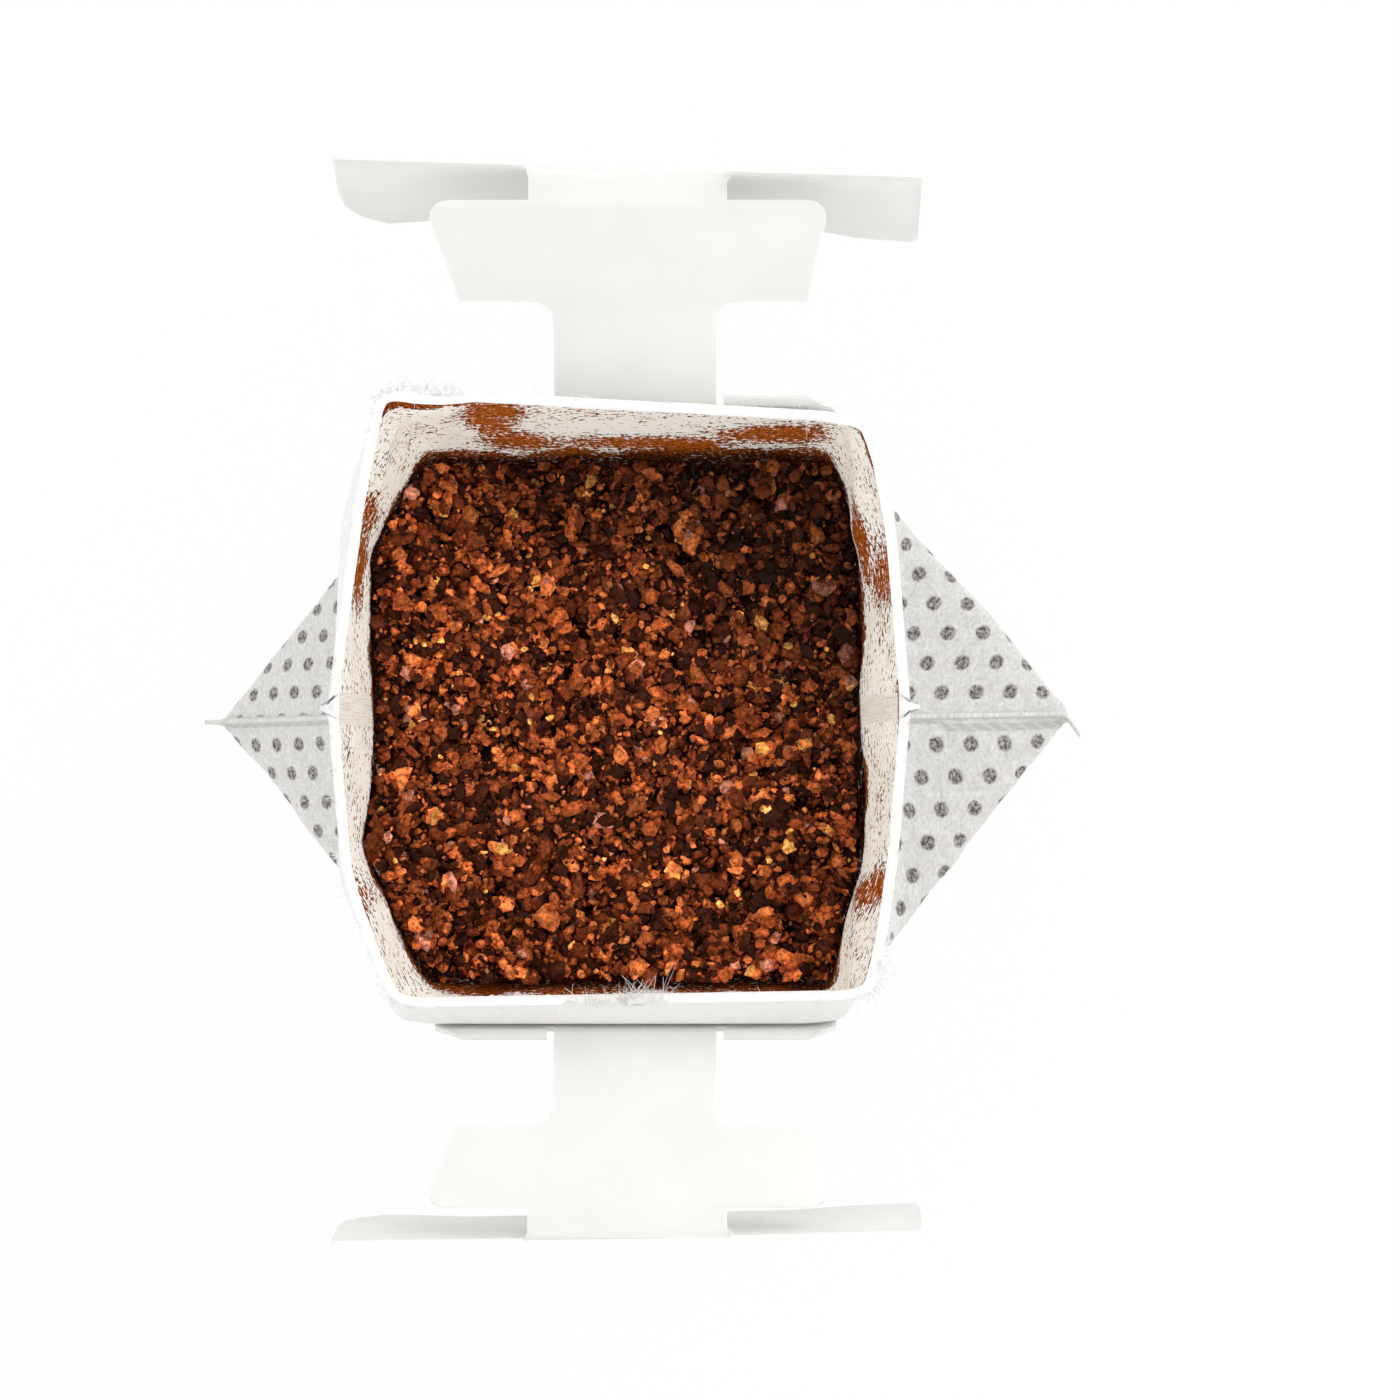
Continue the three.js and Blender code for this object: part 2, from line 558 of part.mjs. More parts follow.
// The die-cut blank, flat: x across the card, y along it, with the root fold at y = 0.
function hangerBlank(path) {
  const slitAlong = path.slitAlong;
  const earTop = slitAlong + SLIT;
  const wingEnd = earTop + WING_HEIGHT;
  const stem = STEM_WIDTH / 2;
  const neck = NECK_WIDTH / 2;
  const panel = PANEL_WIDTH / 2;
  const wing = WING_WIDTH / 2;
  const inner = SHOULDER_INNER_WIDTH / 2;
  const outer = SHOULDER_OUTER_WIDTH / 2;
  const notch = stem + RELIEF_CUT;
  const shape = new THREE.Shape();
  shape.moveTo(-panel + PANEL_CORNER, -PANEL_LENGTH);
  shape.lineTo(panel - PANEL_CORNER, -PANEL_LENGTH);
  shape.quadraticCurveTo(panel, -PANEL_LENGTH, panel, -PANEL_LENGTH + PANEL_CORNER);
  shape.lineTo(panel, PANEL_STEP - PANEL_CORNER);
  shape.quadraticCurveTo(panel, PANEL_STEP, panel - PANEL_CORNER, PANEL_STEP);
  shape.lineTo(notch, PANEL_STEP);
  shape.lineTo(notch, -PANEL_STEP / 2);
  shape.lineTo(stem, -PANEL_STEP / 2);
  shape.lineTo(stem, STEM_LENGTH - STEM_FILLET);
  shape.quadraticCurveTo(stem, STEM_LENGTH, stem + STEM_FILLET, STEM_LENGTH);
  shape.lineTo(inner, STEM_LENGTH);
  shape.lineTo(outer, slitAlong - SHOULDER_CORNER);
  shape.quadraticCurveTo(outer, slitAlong, outer - SHOULDER_CORNER, slitAlong);
  shape.lineTo(neck, slitAlong);
  shape.lineTo(neck, path.rimAlong);
  shape.lineTo(neck + SLIT, path.rimAlong);
  shape.lineTo(neck + SLIT, earTop);
  shape.lineTo(wing - WING_CORNER_SMALL, earTop);
  shape.quadraticCurveTo(wing, earTop, wing, earTop + WING_CORNER_SMALL);
  shape.lineTo(wing, wingEnd - WING_CORNER_SMALL);
  shape.quadraticCurveTo(wing, wingEnd, wing - WING_CORNER_SMALL, wingEnd);
  shape.lineTo(-wing + WING_CORNER_LARGE, wingEnd);
  shape.quadraticCurveTo(-wing, wingEnd, -wing, wingEnd - WING_CORNER_LARGE);
  shape.lineTo(-wing, earTop + WING_CORNER_SMALL);
  shape.quadraticCurveTo(-wing, earTop, -wing + WING_CORNER_SMALL, earTop);
  shape.lineTo(-neck - SLIT, earTop);
  shape.lineTo(-neck - SLIT, path.rimAlong);
  shape.lineTo(-neck, path.rimAlong);
  shape.lineTo(-neck, slitAlong);
  shape.lineTo(-outer + SHOULDER_CORNER, slitAlong);
  shape.quadraticCurveTo(-outer, slitAlong, -outer, slitAlong - SHOULDER_CORNER);
  shape.lineTo(-inner, STEM_LENGTH);
  shape.lineTo(-stem - STEM_FILLET, STEM_LENGTH);
  shape.quadraticCurveTo(-stem, STEM_LENGTH, -stem, STEM_LENGTH - STEM_FILLET);
  shape.lineTo(-stem, -PANEL_STEP / 2);
  shape.lineTo(-notch, -PANEL_STEP / 2);
  shape.lineTo(-notch, PANEL_STEP);
  shape.lineTo(-panel + PANEL_CORNER, PANEL_STEP);
  shape.quadraticCurveTo(-panel, PANEL_STEP, -panel, PANEL_STEP - PANEL_CORNER);
  shape.lineTo(-panel, -PANEL_LENGTH + PANEL_CORNER);
  shape.quadraticCurveTo(-panel, -PANEL_LENGTH, -panel + PANEL_CORNER, -PANEL_LENGTH);
  return new THREE.ExtrudeGeometry(shape, { depth: CARD, bevelEnabled: false, curveSegments: CUT_SEGMENTS });
}

// Shared vertices and triangles of a geometry whose equal points are joined.
function weld(geometry) {
  const position = geometry.getAttribute('position');
  const seen = new Map();
  const points = [];
  const corners = [];
  for (let i = 0; i < position.count; i++) {
    const point = new THREE.Vector3().fromBufferAttribute(position, i);
    const key = [point.x, point.y, point.z].map((value) => Math.round(value * 1e4)).join(' ');
    if (!seen.has(key)) {
      seen.set(key, points.length);
      points.push(point);
    }
    corners.push(seen.get(key));
  }
  const triangles = [];
  for (let i = 0; i < corners.length; i += 3) {
    const [a, b, c] = corners.slice(i, i + 3);
    if (a !== b && b !== c && c !== a) triangles.push([a, b, c]);
  }
  return { points, triangles };
}

// Cuts the triangles beyond a distance along the card that cross a line of constant x or y,
// so that the card can bend there.
function crease(mesh, axis, value, from = -Infinity) {
  const { points } = mesh;
  const cuts = new Map();
  const height = (i) => {
    const distance = points[i][axis] - value;
    return Math.abs(distance) < 1e-4 ? 0 : distance;
  };
  const cutPoint = (a, b) => {
    const key = a < b ? `${a} ${b}` : `${b} ${a}`;
    if (!cuts.has(key)) {
      const share = height(a) / (height(a) - height(b));
      cuts.set(key, points.length);
      points.push(points[a].clone().lerp(points[b], share));
    }
    return cuts.get(key);
  };
  const result = [];
  for (const triangle of mesh.triangles) {
    if (triangle.some((index) => points[index].y < from - 1e-4)) {
      result.push(triangle);
      continue;
    }
    const above = [];
    const below = [];
    triangle.forEach((here, i) => {
      const next = triangle[(i + 1) % 3];
      const h = height(here);
      const g = height(next);
      if (h >= 0) above.push(here);
      if (h < 0 || (h === 0 && triangle.some((other) => height(other) < 0))) below.push(here);
      if (h * g < 0) {
        const middle = cutPoint(here, next);
        above.push(middle);
        below.push(middle);
      }
    });
    for (const polygon of [above, below]) {
      for (let i = 1; i + 1 < polygon.length; i++) result.push([polygon[0], polygon[i], polygon[i + 1]]);
    }
  }
  mesh.triangles = result.filter(([a, b, c]) => a !== b && b !== c && c !== a);
}

// How strongly the wing leans towards the cup: the card bends round the cup away from its middle.
function earLean(across, lean) {
  const share = THREE.MathUtils.clamp((Math.abs(across) - NECK_WIDTH / 2) / (WING_WIDTH / 4), 0, 1);
  return lean * (NECK_LEAN_SHARE + (1 - NECK_LEAN_SHARE) * share);
}

// A hanger: the blank is creased, bent along its run, and glued to the rear or the front wall.
function hanger(side, { wallY, rimY, rest, wingLean, wingTwist }) {
  const path = cardPath(side * wallY, side * rimY, rest);
  const mesh = weld(hangerBlank(path));
  for (const station of path.stations.slice(1, -1)) crease(mesh, 'y', station.along);
  const neck = NECK_WIDTH / 2;
  const slitAlong = path.slitAlong;
  for (const edge of [-1, 1]) {
    for (let line = 1; line < EAR_BENDS; line++) {
      crease(mesh, 'x', edge * (neck + (line * (WING_WIDTH / 2 - neck)) / EAR_BENDS), slitAlong + SLIT / 2);
    }
  }
  const wingTop = path.wingStart;
  const points = mesh.points.map((flat) => {
    const beside = Math.abs(flat.x) > STEM_WIDTH / 2 + RELIEF_CUT / 2;
    const onPanel = flat.y <= 0 || (flat.y <= PANEL_STEP && beside);
    const onEar = flat.y > slitAlong + SLIT / 2 && Math.abs(flat.x) > neck + SLIT / 2;
    let spot = alongPath(path, flat.y);
    if (onPanel && flat.y > 0) {
      const root = alongPath(path, 0);
      spot = {
        y: root.y + flat.y * Math.cos(path.stations[0].angle),
        z: root.z + flat.y * Math.sin(path.stations[0].angle),
        angle: path.stations[0].angle,
      };
    }
    if (onEar) spot = { y: wingTop.y, z: wingTop.z + wingTop.along - flat.y, angle: wingTop.angle };
    const depth = Math.max(0, flat.y - wingTop.along + RIM_BEND_RADIUS);
    const inward = earLean(flat.x, wingLean) * depth;
    const twist = wingTwist * flat.x * THREE.MathUtils.clamp((flat.y - slitAlong) / rest, 0, 1);
    return new THREE.Vector3(
      HANGER_CENTRE_X + flat.x,
      side * (spot.y - inward - flat.z * Math.sin(spot.angle)) + (onEar ? wingTwist * flat.x : twist),
      spot.z + flat.z * Math.cos(spot.angle),
    );
  });
  const flip = side > 0;
  const triangles = mesh.triangles.map(([a, b, c]) => (flip ? [a, b, c] : [a, c, b]));
  return closedGeometry(points, triangles);
}

function part(name, geometry, material) {
  const mesh = new THREE.Mesh(geometry, material);
  mesh.name = name;
  return mesh;
}

const dripBag = new THREE.Group();
dripBag.add(part('filter_bag', filterBag(), clothMaterial));
dripBag.add(part('coffee_grounds', coffeeGrounds(), coffeeMaterial));
dripBag.add(part('rear_hanger', hanger(1, REAR), cardMaterial));
dripBag.add(part('front_hanger', hanger(-1, FRONT), cardMaterial));

export default dripBag;
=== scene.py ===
# %% [markdown]
# # A drip coffee bag, opened and hung
#
# The real object is four things: a small pouch of white filter cloth, the coffee in it, and two
# die-cut cards that fold out and hook over a cup's rim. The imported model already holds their
# sizes. This script gives each one the surface that the eye expects: cloth with pressed bond
# dots, a torn fluffy lip, coffee dust on the inner walls, a bed of crushed grains, matt card.

# %% Load the frame
import math

import bpy
import numpy as np
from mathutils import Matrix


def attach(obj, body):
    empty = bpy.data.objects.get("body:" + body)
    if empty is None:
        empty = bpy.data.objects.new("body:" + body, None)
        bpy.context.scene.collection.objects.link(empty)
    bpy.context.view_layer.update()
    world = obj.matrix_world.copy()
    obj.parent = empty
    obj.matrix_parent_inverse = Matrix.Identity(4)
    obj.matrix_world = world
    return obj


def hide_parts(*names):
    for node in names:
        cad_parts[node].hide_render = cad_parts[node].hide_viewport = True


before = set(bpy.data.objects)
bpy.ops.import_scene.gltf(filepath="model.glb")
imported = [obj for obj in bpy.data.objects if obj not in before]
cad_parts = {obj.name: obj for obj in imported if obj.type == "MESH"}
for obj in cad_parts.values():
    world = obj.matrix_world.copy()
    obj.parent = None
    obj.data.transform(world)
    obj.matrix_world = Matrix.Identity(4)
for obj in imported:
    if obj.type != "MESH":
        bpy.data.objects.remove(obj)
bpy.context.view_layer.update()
MM = 0.001
print("pieces in the frame:", sorted(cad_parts))

# %% [markdown]
# ## Camera
#
# The bag is seen from almost straight above. The middle of the picture isn't right under the
# lens: the lens stands a little to the front and right of the bag, so the rear inner wall shows
# and the front one hides. Aiming the camera at the picture's middle keeps that view with no shift.

# %% Camera
CAMERA_PLACE = (9.9 * MM, -15.4 * MM, 550 * MM)
CAMERA_AIM = (6.65 * MM, 0.8 * MM, 0.0)
SENSOR_WIDTH = 36.0
PICTURE_SIDE = 1400
FOCAL_PIXELS = 6600


def aimed_rotation(place, aim):
    """Rotation of an object at place whose -Z axis points at aim and whose +Y axis leans least."""
    from mathutils import Matrix, Vector
    ahead = (Vector(aim) - Vector(place)).normalized()
    right = ahead.cross(Vector((0, 1, 0))).normalized()
    return Matrix((right, right.cross(ahead), -ahead)).transposed().to_euler()


def add_camera():
    """A camera whose focal length is the picture's focal pixels over its side, times the sensor."""
    lens = bpy.data.cameras.new("camera")
    lens.sensor_width = SENSOR_WIDTH
    lens.lens = SENSOR_WIDTH * FOCAL_PIXELS / PICTURE_SIDE
    lens.clip_start = 0.01
    lens.clip_end = 10.0
    camera = bpy.data.objects.new("camera", lens)
    camera.location = CAMERA_PLACE
    camera.rotation_euler = aimed_rotation(CAMERA_PLACE, CAMERA_AIM)
    bpy.context.scene.collection.objects.link(camera)
    bpy.context.scene.camera = camera
    print("lens of", round(lens.lens, 1), "mm")


add_camera()

# %% [markdown]
# ## Light and floor
#
# The picture is high-key: one broad soft light from above and a bright room all round. The room
# is the world's plain white at a modest strength. A pale floor lies below the bag and catches its
# shadow; camera rays see it lifted towards white.

# %% Light and floor
FLOOR_HEIGHT = -0.088
FLOOR_HALF = 1.6
FLOOR_COLOUR = (0.86, 0.86, 0.85, 1.0)
ROOM_STRENGTH = 1.14
LIFT_TO_WHITE = 0.9
AREA_LIGHTS = {
    "softbox_above": ((0.48, 0.44, 0.52), 0.5, 1.4),
}


def add_room():
    """World of one grey level for the light, and plain white where the camera looks past all."""
    world = bpy.data.worlds.new("room")
    bpy.context.scene.world = world
    world.use_nodes = True
    nodes, links = world.node_tree.nodes, world.node_tree.links
    background = nodes["Background"]
    background.inputs["Color"].default_value = (1, 1, 1, 1)
    path = nodes.new("ShaderNodeLightPath")
    seen = nodes.new("ShaderNodeMath")
    seen.operation = "MAXIMUM"
    links.new(path.outputs["Is Camera Ray"], seen.inputs[0])
    links.new(path.outputs["Is Glossy Ray"], seen.inputs[1])
    level = nodes.new("ShaderNodeMapRange")
    level.inputs["To Min"].default_value = ROOM_STRENGTH
    level.inputs["To Max"].default_value = 1.0
    links.new(seen.outputs[0], level.inputs["Value"])
    links.new(level.outputs[0], background.inputs["Strength"])


def add_lights():
    """Square area lamps, each aimed at the bag."""
    for name, (place, side, power) in AREA_LIGHTS.items():
        lamp = bpy.data.lights.new(name, "AREA")
        lamp.shape = "SQUARE"
        lamp.size = side
        lamp.energy = power
        lit = bpy.data.objects.new(name, lamp)
        lit.location = place
        lit.rotation_euler = aimed_rotation(place, (0, 0, -0.02))
        bpy.context.scene.collection.objects.link(lit)
    print(len(AREA_LIGHTS), "soft lights")


add_room()
add_lights()

# %% [markdown]
# ## Helpers for meshes
#
# Each surface here is worked out as a whole array of points. A closed skin is a stack of rings
# of equal length, so its faces follow from counting alone. A finished piece keeps its place in
# its mesh, and its object stays at the origin.

# %% Mesh helpers
def mesh_piece(name, points, faces, smooth=True):
    """An object from points in millimetres and faces as an array of corner numbers."""
    mesh = bpy.data.meshes.new(name)
    points = np.asarray(points, dtype=float) * MM
    faces = [np.asarray(part, dtype=int) for part in faces]
    sizes = np.concatenate([np.full(len(part), part.shape[1]) for part in faces])
    corners = np.concatenate([part.ravel() for part in faces])
    mesh.vertices.add(len(points))
    mesh.vertices.foreach_set("co", points.ravel())
    mesh.loops.add(len(corners))
    mesh.loops.foreach_set("vertex_index", corners)
    mesh.polygons.add(len(sizes))
    mesh.polygons.foreach_set("loop_start", np.concatenate([[0], np.cumsum(sizes)[:-1]]))
    mesh.polygons.foreach_set("loop_total", sizes)
    mesh.update(calc_edges=True)
    mesh.validate()
    mesh.polygons.foreach_set("use_smooth", np.full(len(mesh.polygons), smooth))
    piece = bpy.data.objects.new(name, mesh)
    bpy.context.scene.collection.objects.link(piece)
    return piece


def ring_faces(rings, count, start=0, inward=False):
    """Quads between each ring and the next: corner i, i+1, then the same two one ring below."""
    i = np.arange(count)
    j = (np.arange(rings - 1) * count)[:, None] + start
    quads = np.stack([j + i, j + (i + 1) % count, j + count + (i + 1) % count, j + count + i], -1)
    quads = quads.reshape(-1, 4)
    return quads[:, ::-1] if inward else quads


def cap_faces(first, count, inward=False):
    """Quads across a flattened ring, from its rear half to the facing points of its front half."""
    i = np.arange(count // 2 - 1)
    quads = np.stack([first + i, first + i + 1, first + count - 2 - i, first + count - 1 - i], -1)
    return quads[:, ::-1] if inward else quads


def point_values(piece, name, values):
    """Stores one number for each point under a name that a material can read."""
    layer = piece.data.attributes.new(name, "FLOAT", "POINT")
    layer.data.foreach_set("value", np.asarray(values, dtype=float))


def flat_map(piece, name, across, down, span):
    """A UV map from each point's place on the flat cloth, divided by the span that it covers."""
    layer = piece.data.uv_layers.new(name=name)
    corner = np.empty(len(piece.data.loops), dtype=int)
    piece.data.loops.foreach_get("vertex_index", corner)
    uv = np.stack([np.asarray(across)[corner], np.asarray(down)[corner]], -1) / span
    layer.data.foreach_set("uv", uv.ravel())


# %% [markdown]
# ## The pouch as a folded flat panel
#
# A filter pouch starts as two flat panels of cloth, sealed to each other at both sides and along
# the bottom. Opening it doesn't stretch the cloth: it only folds. So the shape is told by where
# a few places of the flat panel stand in space, and every other point is carried by the flat
# facet between three of them. Averaging neighbours then rounds the folds.

# %% Where the fold corners stand
POUCH_WIDTH = 90.0
POUCH_HEIGHT = 63.0
HALF = POUCH_WIDTH / 2
REAR, FRONT = 1, -1
# place on the flat panel (across, down), then where it stands (x, y, z)
SHARED_CORNERS = {
    "seam_left": ((-45, 0), (-24.3, 0.2, -2)),
    "seam_right": ((45, 0), (24.0, 0.3, -2)),
    "pinch_left": ((-45, 15), (-21.7, 0.2, -16.5)),
    "pinch_right": ((45, 15), (20.4, 0.3, -16.5)),
    "bend_left": ((-45, 41), (-25.0, 0.5, -42)),
    "bend_right": ((45, 44.5), (24.4, 0.6, -44.2)),
    "tip_left": ((-45, 63), (-38.7, 0.5, -59.3)),
    "tip_right": ((45, 63), (41.4, 1.1, -51.5)),
    "bottom_left": ((-27, 63), (-25.8, 0.4, -58.5)),
    "bottom_middle": ((0, 63), (0, 0.4, -59)),
    "bottom_right": ((27, 63), (25.5, 0.6, -57)),
}
REAR_CORNERS = {
    "mouth_left": ((-20.25, 0), (-20.2, 26.9, -2)),
    "mouth_right": ((20.25, 0), (21.0, 24.6, -2)),
    "bow_left": ((-30, 0), (-22.1, 17.2, -2)),
    "bow_right": ((30, 0), (22.8, 15.0, -2)),
    "fold_left": ((-19.5, 5), (-19.5, 25.6, -7)),
    "fold_right": ((19.5, 5), (19.5, 25.6, -7)),
    "shoulder_left": ((-31, 6.5), (-24.0, 16.4, -8.3)),
    "shoulder_right": ((31, 6.5), (22.6, 14.8, -8.3)),
    "waist_left": ((-19.5, 14.5), (-17.0, 23.04, -16.5)),
    "waist_right": ((19.5, 14.5), (17.7, 23.04, -16.5)),
    "side_left": ((-32, 15), (-22.1, 14.8, -16.5)),
    "side_right": ((32, 15), (20.6, 13.4, -16.5)),
    "wall_end_left": ((-19.5, 27), (-19.5, 19.66, -29)),
    "wall_end_right": ((19.5, 27), (19.5, 19.66, -29)),
    "fin_left": ((-31, 45), (-25.8, 15.0, -46)),
    "fin_right": ((27, 42), (24.0, 20.4, -45)),
}
FRONT_CORNERS = {
    "mouth_left": ((-20.25, 0), (-19.4, -24.6, -2)),
    "mouth_right": ((20.25, 0), (21.3, -23.9, -2)),
    "bow_left": ((-30, 0), (-23.1, -13.6, -2)),
    "bow_right": ((30, 0), (22.9, -12.6, -2)),
    "fold_left": ((-19.5, 5), (-19.5, -26.6, -7)),
    "fold_right": ((19.5, 5), (19.5, -26.6, -7)),
    "shoulder_left": ((-31, 6.5), (-24.0, -14.2, -8.3)),
    "shoulder_right": ((31, 6.5), (22.9, -13.0, -8.3)),
    "waist_left": ((-19.5, 14.5), (-17.0, -24.04, -16.5)),
    "waist_right": ((19.5, 14.5), (17.7, -24.04, -16.5)),
    "side_left": ((-32, 15), (-22.4, -11.5, -16.5)),
    "side_right": ((32, 15), (21.0, -13.2, -16.5)),
    "wall_end_left": ((-19.5, 27), (-19.5, -20.66, -29)),
    "wall_end_right": ((19.5, 27), (19.5, -20.66, -29)),
    "fin_left": ((-31, 45), (-25.8, -14.6, -46)),
    "fin_right": ((27, 42), (23.8, -21.0, -45)),
}
END_FACETS = [
    "seam bow shoulder", "bow mouth shoulder", "mouth fold shoulder", "fold waist side",
    "fold side shoulder", "shoulder side pinch", "seam shoulder pinch", "pinch side fin",
    "pinch fin bend", "side waist wall_end", "side wall_end fin", "bend fin tip",
    "fin bottom tip", "wall_end bottom fin",
]
FACETS = [" ".join(f"{name}_{end}" for name in facet.split()) for end in ("left", "right") for facet in END_FACETS]
FACETS += [
    "mouth_left mouth_right fold_right", "mouth_left fold_right fold_left",
    "fold_left fold_right waist_right", "fold_left waist_right waist_left",
    "waist_left waist_right wall_end_right", "waist_left wall_end_right wall_end_left",
    "wall_end_left wall_end_right bottom_middle", "wall_end_left bottom_middle bottom_left",
    "wall_end_right bottom_right bottom_middle",
]


# %% Fold a panel and soften its folds
PANEL_STEP = 0.75
SOFT_PASSES = 4


def folded_grid(side):
    """Each flat grid point is carried by the facet that holds it: its three corner shares
    on the flat panel are used again in space. Shape (rows, columns, 3)."""
    corners = {**SHARED_CORNERS, **(REAR_CORNERS if side == REAR else FRONT_CORNERS)}
    across = np.linspace(-HALF, HALF, int(POUCH_WIDTH / PANEL_STEP) + 1)
    down = np.linspace(0, POUCH_HEIGHT, int(POUCH_HEIGHT / PANEL_STEP) + 1)
    u, v = np.meshgrid(across, down)
    grid = np.zeros(u.shape + (3,))
    best = np.full(u.shape, -np.inf)
    for facet in FACETS:
        (fa, pa), (fb, pb), (fc, pc) = (corners[name] for name in facet.split())
        area = (fb[0] - fa[0]) * (fc[1] - fa[1]) - (fc[0] - fa[0]) * (fb[1] - fa[1])
        share_b = ((u - fa[0]) * (fc[1] - fa[1]) - (fc[0] - fa[0]) * (v - fa[1])) / area
        share_c = ((fb[0] - fa[0]) * (v - fa[1]) - (u - fa[0]) * (fb[1] - fa[1])) / area
        inside = np.minimum(np.minimum(share_b, share_c), 1 - share_b - share_c)
        here = inside > best
        place = (np.multiply.outer(1 - share_b - share_c, pa) + np.multiply.outer(share_b, pb)
                 + np.multiply.outer(share_c, pc))
        grid[here] = place[here]
        best[here] = inside[here]
    return grid


def soften(grid, passes):
    """Each pass moves a point half-way to the mean of its neighbours, first down, then across.
    The lip and the bottom are only averaged across, the two seams only down."""
    for _ in range(passes):
        inner = (grid[:-2] + 2 * grid[1:-1] + grid[2:]) / 4
        grid = np.concatenate([grid[:1], inner, grid[-1:]])
        inner = (grid[:, :-2] + 2 * grid[:, 1:-1] + grid[:, 2:]) / 4
        grid = np.concatenate([grid[:, :1], inner, grid[:, -1:]], axis=1)
    return grid


panels = {side: soften(folded_grid(side), SOFT_PASSES) for side in (REAR, FRONT)}
print("panel grids:", panels[REAR].shape)


# %% [markdown]
# ## Reading a panel
#
# The softened panels are tables of places. Between the table's points a place is a weighted mean
# of the four around it, and the outward direction comes from two small steps, one across and one
# down. Small uneven swells keep the cloth from looking like sheet metal, and long low ridges run
# down from the mouth's corners, where the opened cloth was creased.

# %% Sample a panel
def noise_field(u, v, seed, sizes, heights):
    """A smooth uneven field: for each size, sine waves in several directions with set phases."""
    rng = np.random.default_rng(seed)
    total = np.zeros(np.broadcast(u, v).shape)
    for size, height in zip(sizes, heights):
        for _ in range(5):
            angle, phase = rng.uniform(0, 2 * np.pi, 2)
            pitch = size * rng.uniform(0.7, 1.4)
            total += height / 2.2 * np.sin((u * np.cos(angle) + v * np.sin(angle)) / pitch * 2 * np.pi + phase)
    return total


def panel_place(side, across, down):
    """Mean of the four grid points around a flat place, weighted by nearness."""
    grid = panels[side]
    rows, columns = grid.shape[:2]
    u = np.clip((across + HALF) / POUCH_WIDTH * (columns - 1), 0, columns - 1)
    v = np.clip(down / POUCH_HEIGHT * (rows - 1), 0, rows - 1)
    i = np.minimum(u.astype(int), columns - 2)
    j = np.minimum(v.astype(int), rows - 2)
    fu, fv = (u - i)[..., None], (v - j)[..., None]
    top = grid[j, i] * (1 - fu) + grid[j, i + 1] * fu
    bottom = grid[j + 1, i] * (1 - fu) + grid[j + 1, i + 1] * fu
    return top * (1 - fv) + bottom * fv


def panel_normal(side, across, down):
    """Cross product of the step across and the step down, turned to face out of the pouch."""
    reach = PANEL_STEP
    right = panel_place(side, np.minimum(across + reach, HALF), down)
    left = panel_place(side, np.maximum(across - reach, -HALF), down)
    below = panel_place(side, across, np.minimum(down + reach, POUCH_HEIGHT))
    above = panel_place(side, across, np.maximum(down - reach, 0))
    normal = np.cross(right - left, below - above) * side
    return normal / np.linalg.norm(normal, axis=-1, keepdims=True)


CARD_ZONE = 18.0
CARD_ZONE_DOWN = 27.0


def swell(side, across, down):
    """Soft dents and creases of the cloth, fading out at the seams, the lip and under the card."""
    seam = np.clip((HALF - np.abs(across)) / 4, 0, 1)
    lip = np.clip(down / 6, 0, 1)
    bottom = np.clip((POUCH_HEIGHT - down) / 5, 0, 1)
    beyond = np.maximum(np.abs(across) - CARD_ZONE, down - CARD_ZONE_DOWN)
    free = np.clip(beyond / 4, 0, 1)
    waves = noise_field(across, down, 11 + side, (26, 11, 5), (0.16, 0.12, 0.06))
    return waves * seam * lip * bottom * free


# side, flat place of the ridge's two ends (across, down), and how far it stands inward
RIDGES = [
    (REAR, (-12.5, 0.0), (-34.0, 14.0), 0.9), (REAR, (16.5, 0.0), (33.0, 14.0), 0.8),
    (FRONT, (-17.5, 0.0), (-32.0, 14.0), 0.7), (FRONT, (17.5, 0.0), (32.0, 14.0), 0.7),
]
RIDGE_WIDTH = 5.0


def ridges(side, across, down):
    """Creases across the corners: a tent-shaped rise along each line, fading at the line's ends."""
    total = np.zeros(np.broadcast(across, down).shape)
    for where, first, last, height in RIDGES:
        if where == side:
            run = np.subtract(last, first)
            length = np.hypot(*run)
            along = ((across - first[0]) * run[0] + (down - first[1]) * run[1]) / length ** 2
            off = np.abs((across - first[0]) * run[1] - (down - first[1]) * run[0]) / length
            fade = np.clip(np.minimum(along, 1 - along) * 6, 0, 1)
            total = np.maximum(total, height * fade * np.clip(1 - off / RIDGE_WIDTH, 0, 1))
    return total


def skin(side, across, down, inset):
    """A place on the cloth: the panel's place, moved along its outward direction."""
    across, down = np.broadcast_arrays(np.asarray(across, float), np.asarray(down, float))
    normal = panel_normal(side, across, down)
    out = swell(side, across, down) - ridges(side, across, down) - inset
    return panel_place(side, across, down) + normal * out[..., None]

# %% [markdown]
# ## The pouch's skins
#
# The cloth has two sides: a clean outer one, and an inner one that the coffee has dusted. Each is
# a stack of rings, from the lip down to the sealed bottom. The two skins stand a cloth's
# thickness apart, a little more at the lip, where the torn fibres fluff it up and the cloth
# flares outward. Under the coffee nothing is seen of the inner skin, so it keeps well clear of
# the outer one there. The tip of the right fin curls over.

# %% Ring places on the flat cloth
COLUMNS = 150
ROWS = 100
SEAL_WIDTH = 1.0
SEAL_HALF = 0.22
CLOTH = 0.32
LIP_FLARE = 0.28
LIP_FLUFF = 0.3
LIP_FADE = 0.5
CAVITY_MARGIN = 1.2
CAVITY_END = 52.0
BURIED_DOWN = 18.0
CURL_START = 39.6
CURL_LENGTH = 2.8
CURL_ASIDE = 2.5


def even_rows(end, rows):
    """Distances down the cloth, closer together at the lip: end times a power of the share."""
    return end * np.linspace(0, 1, rows + 1) ** 1.35


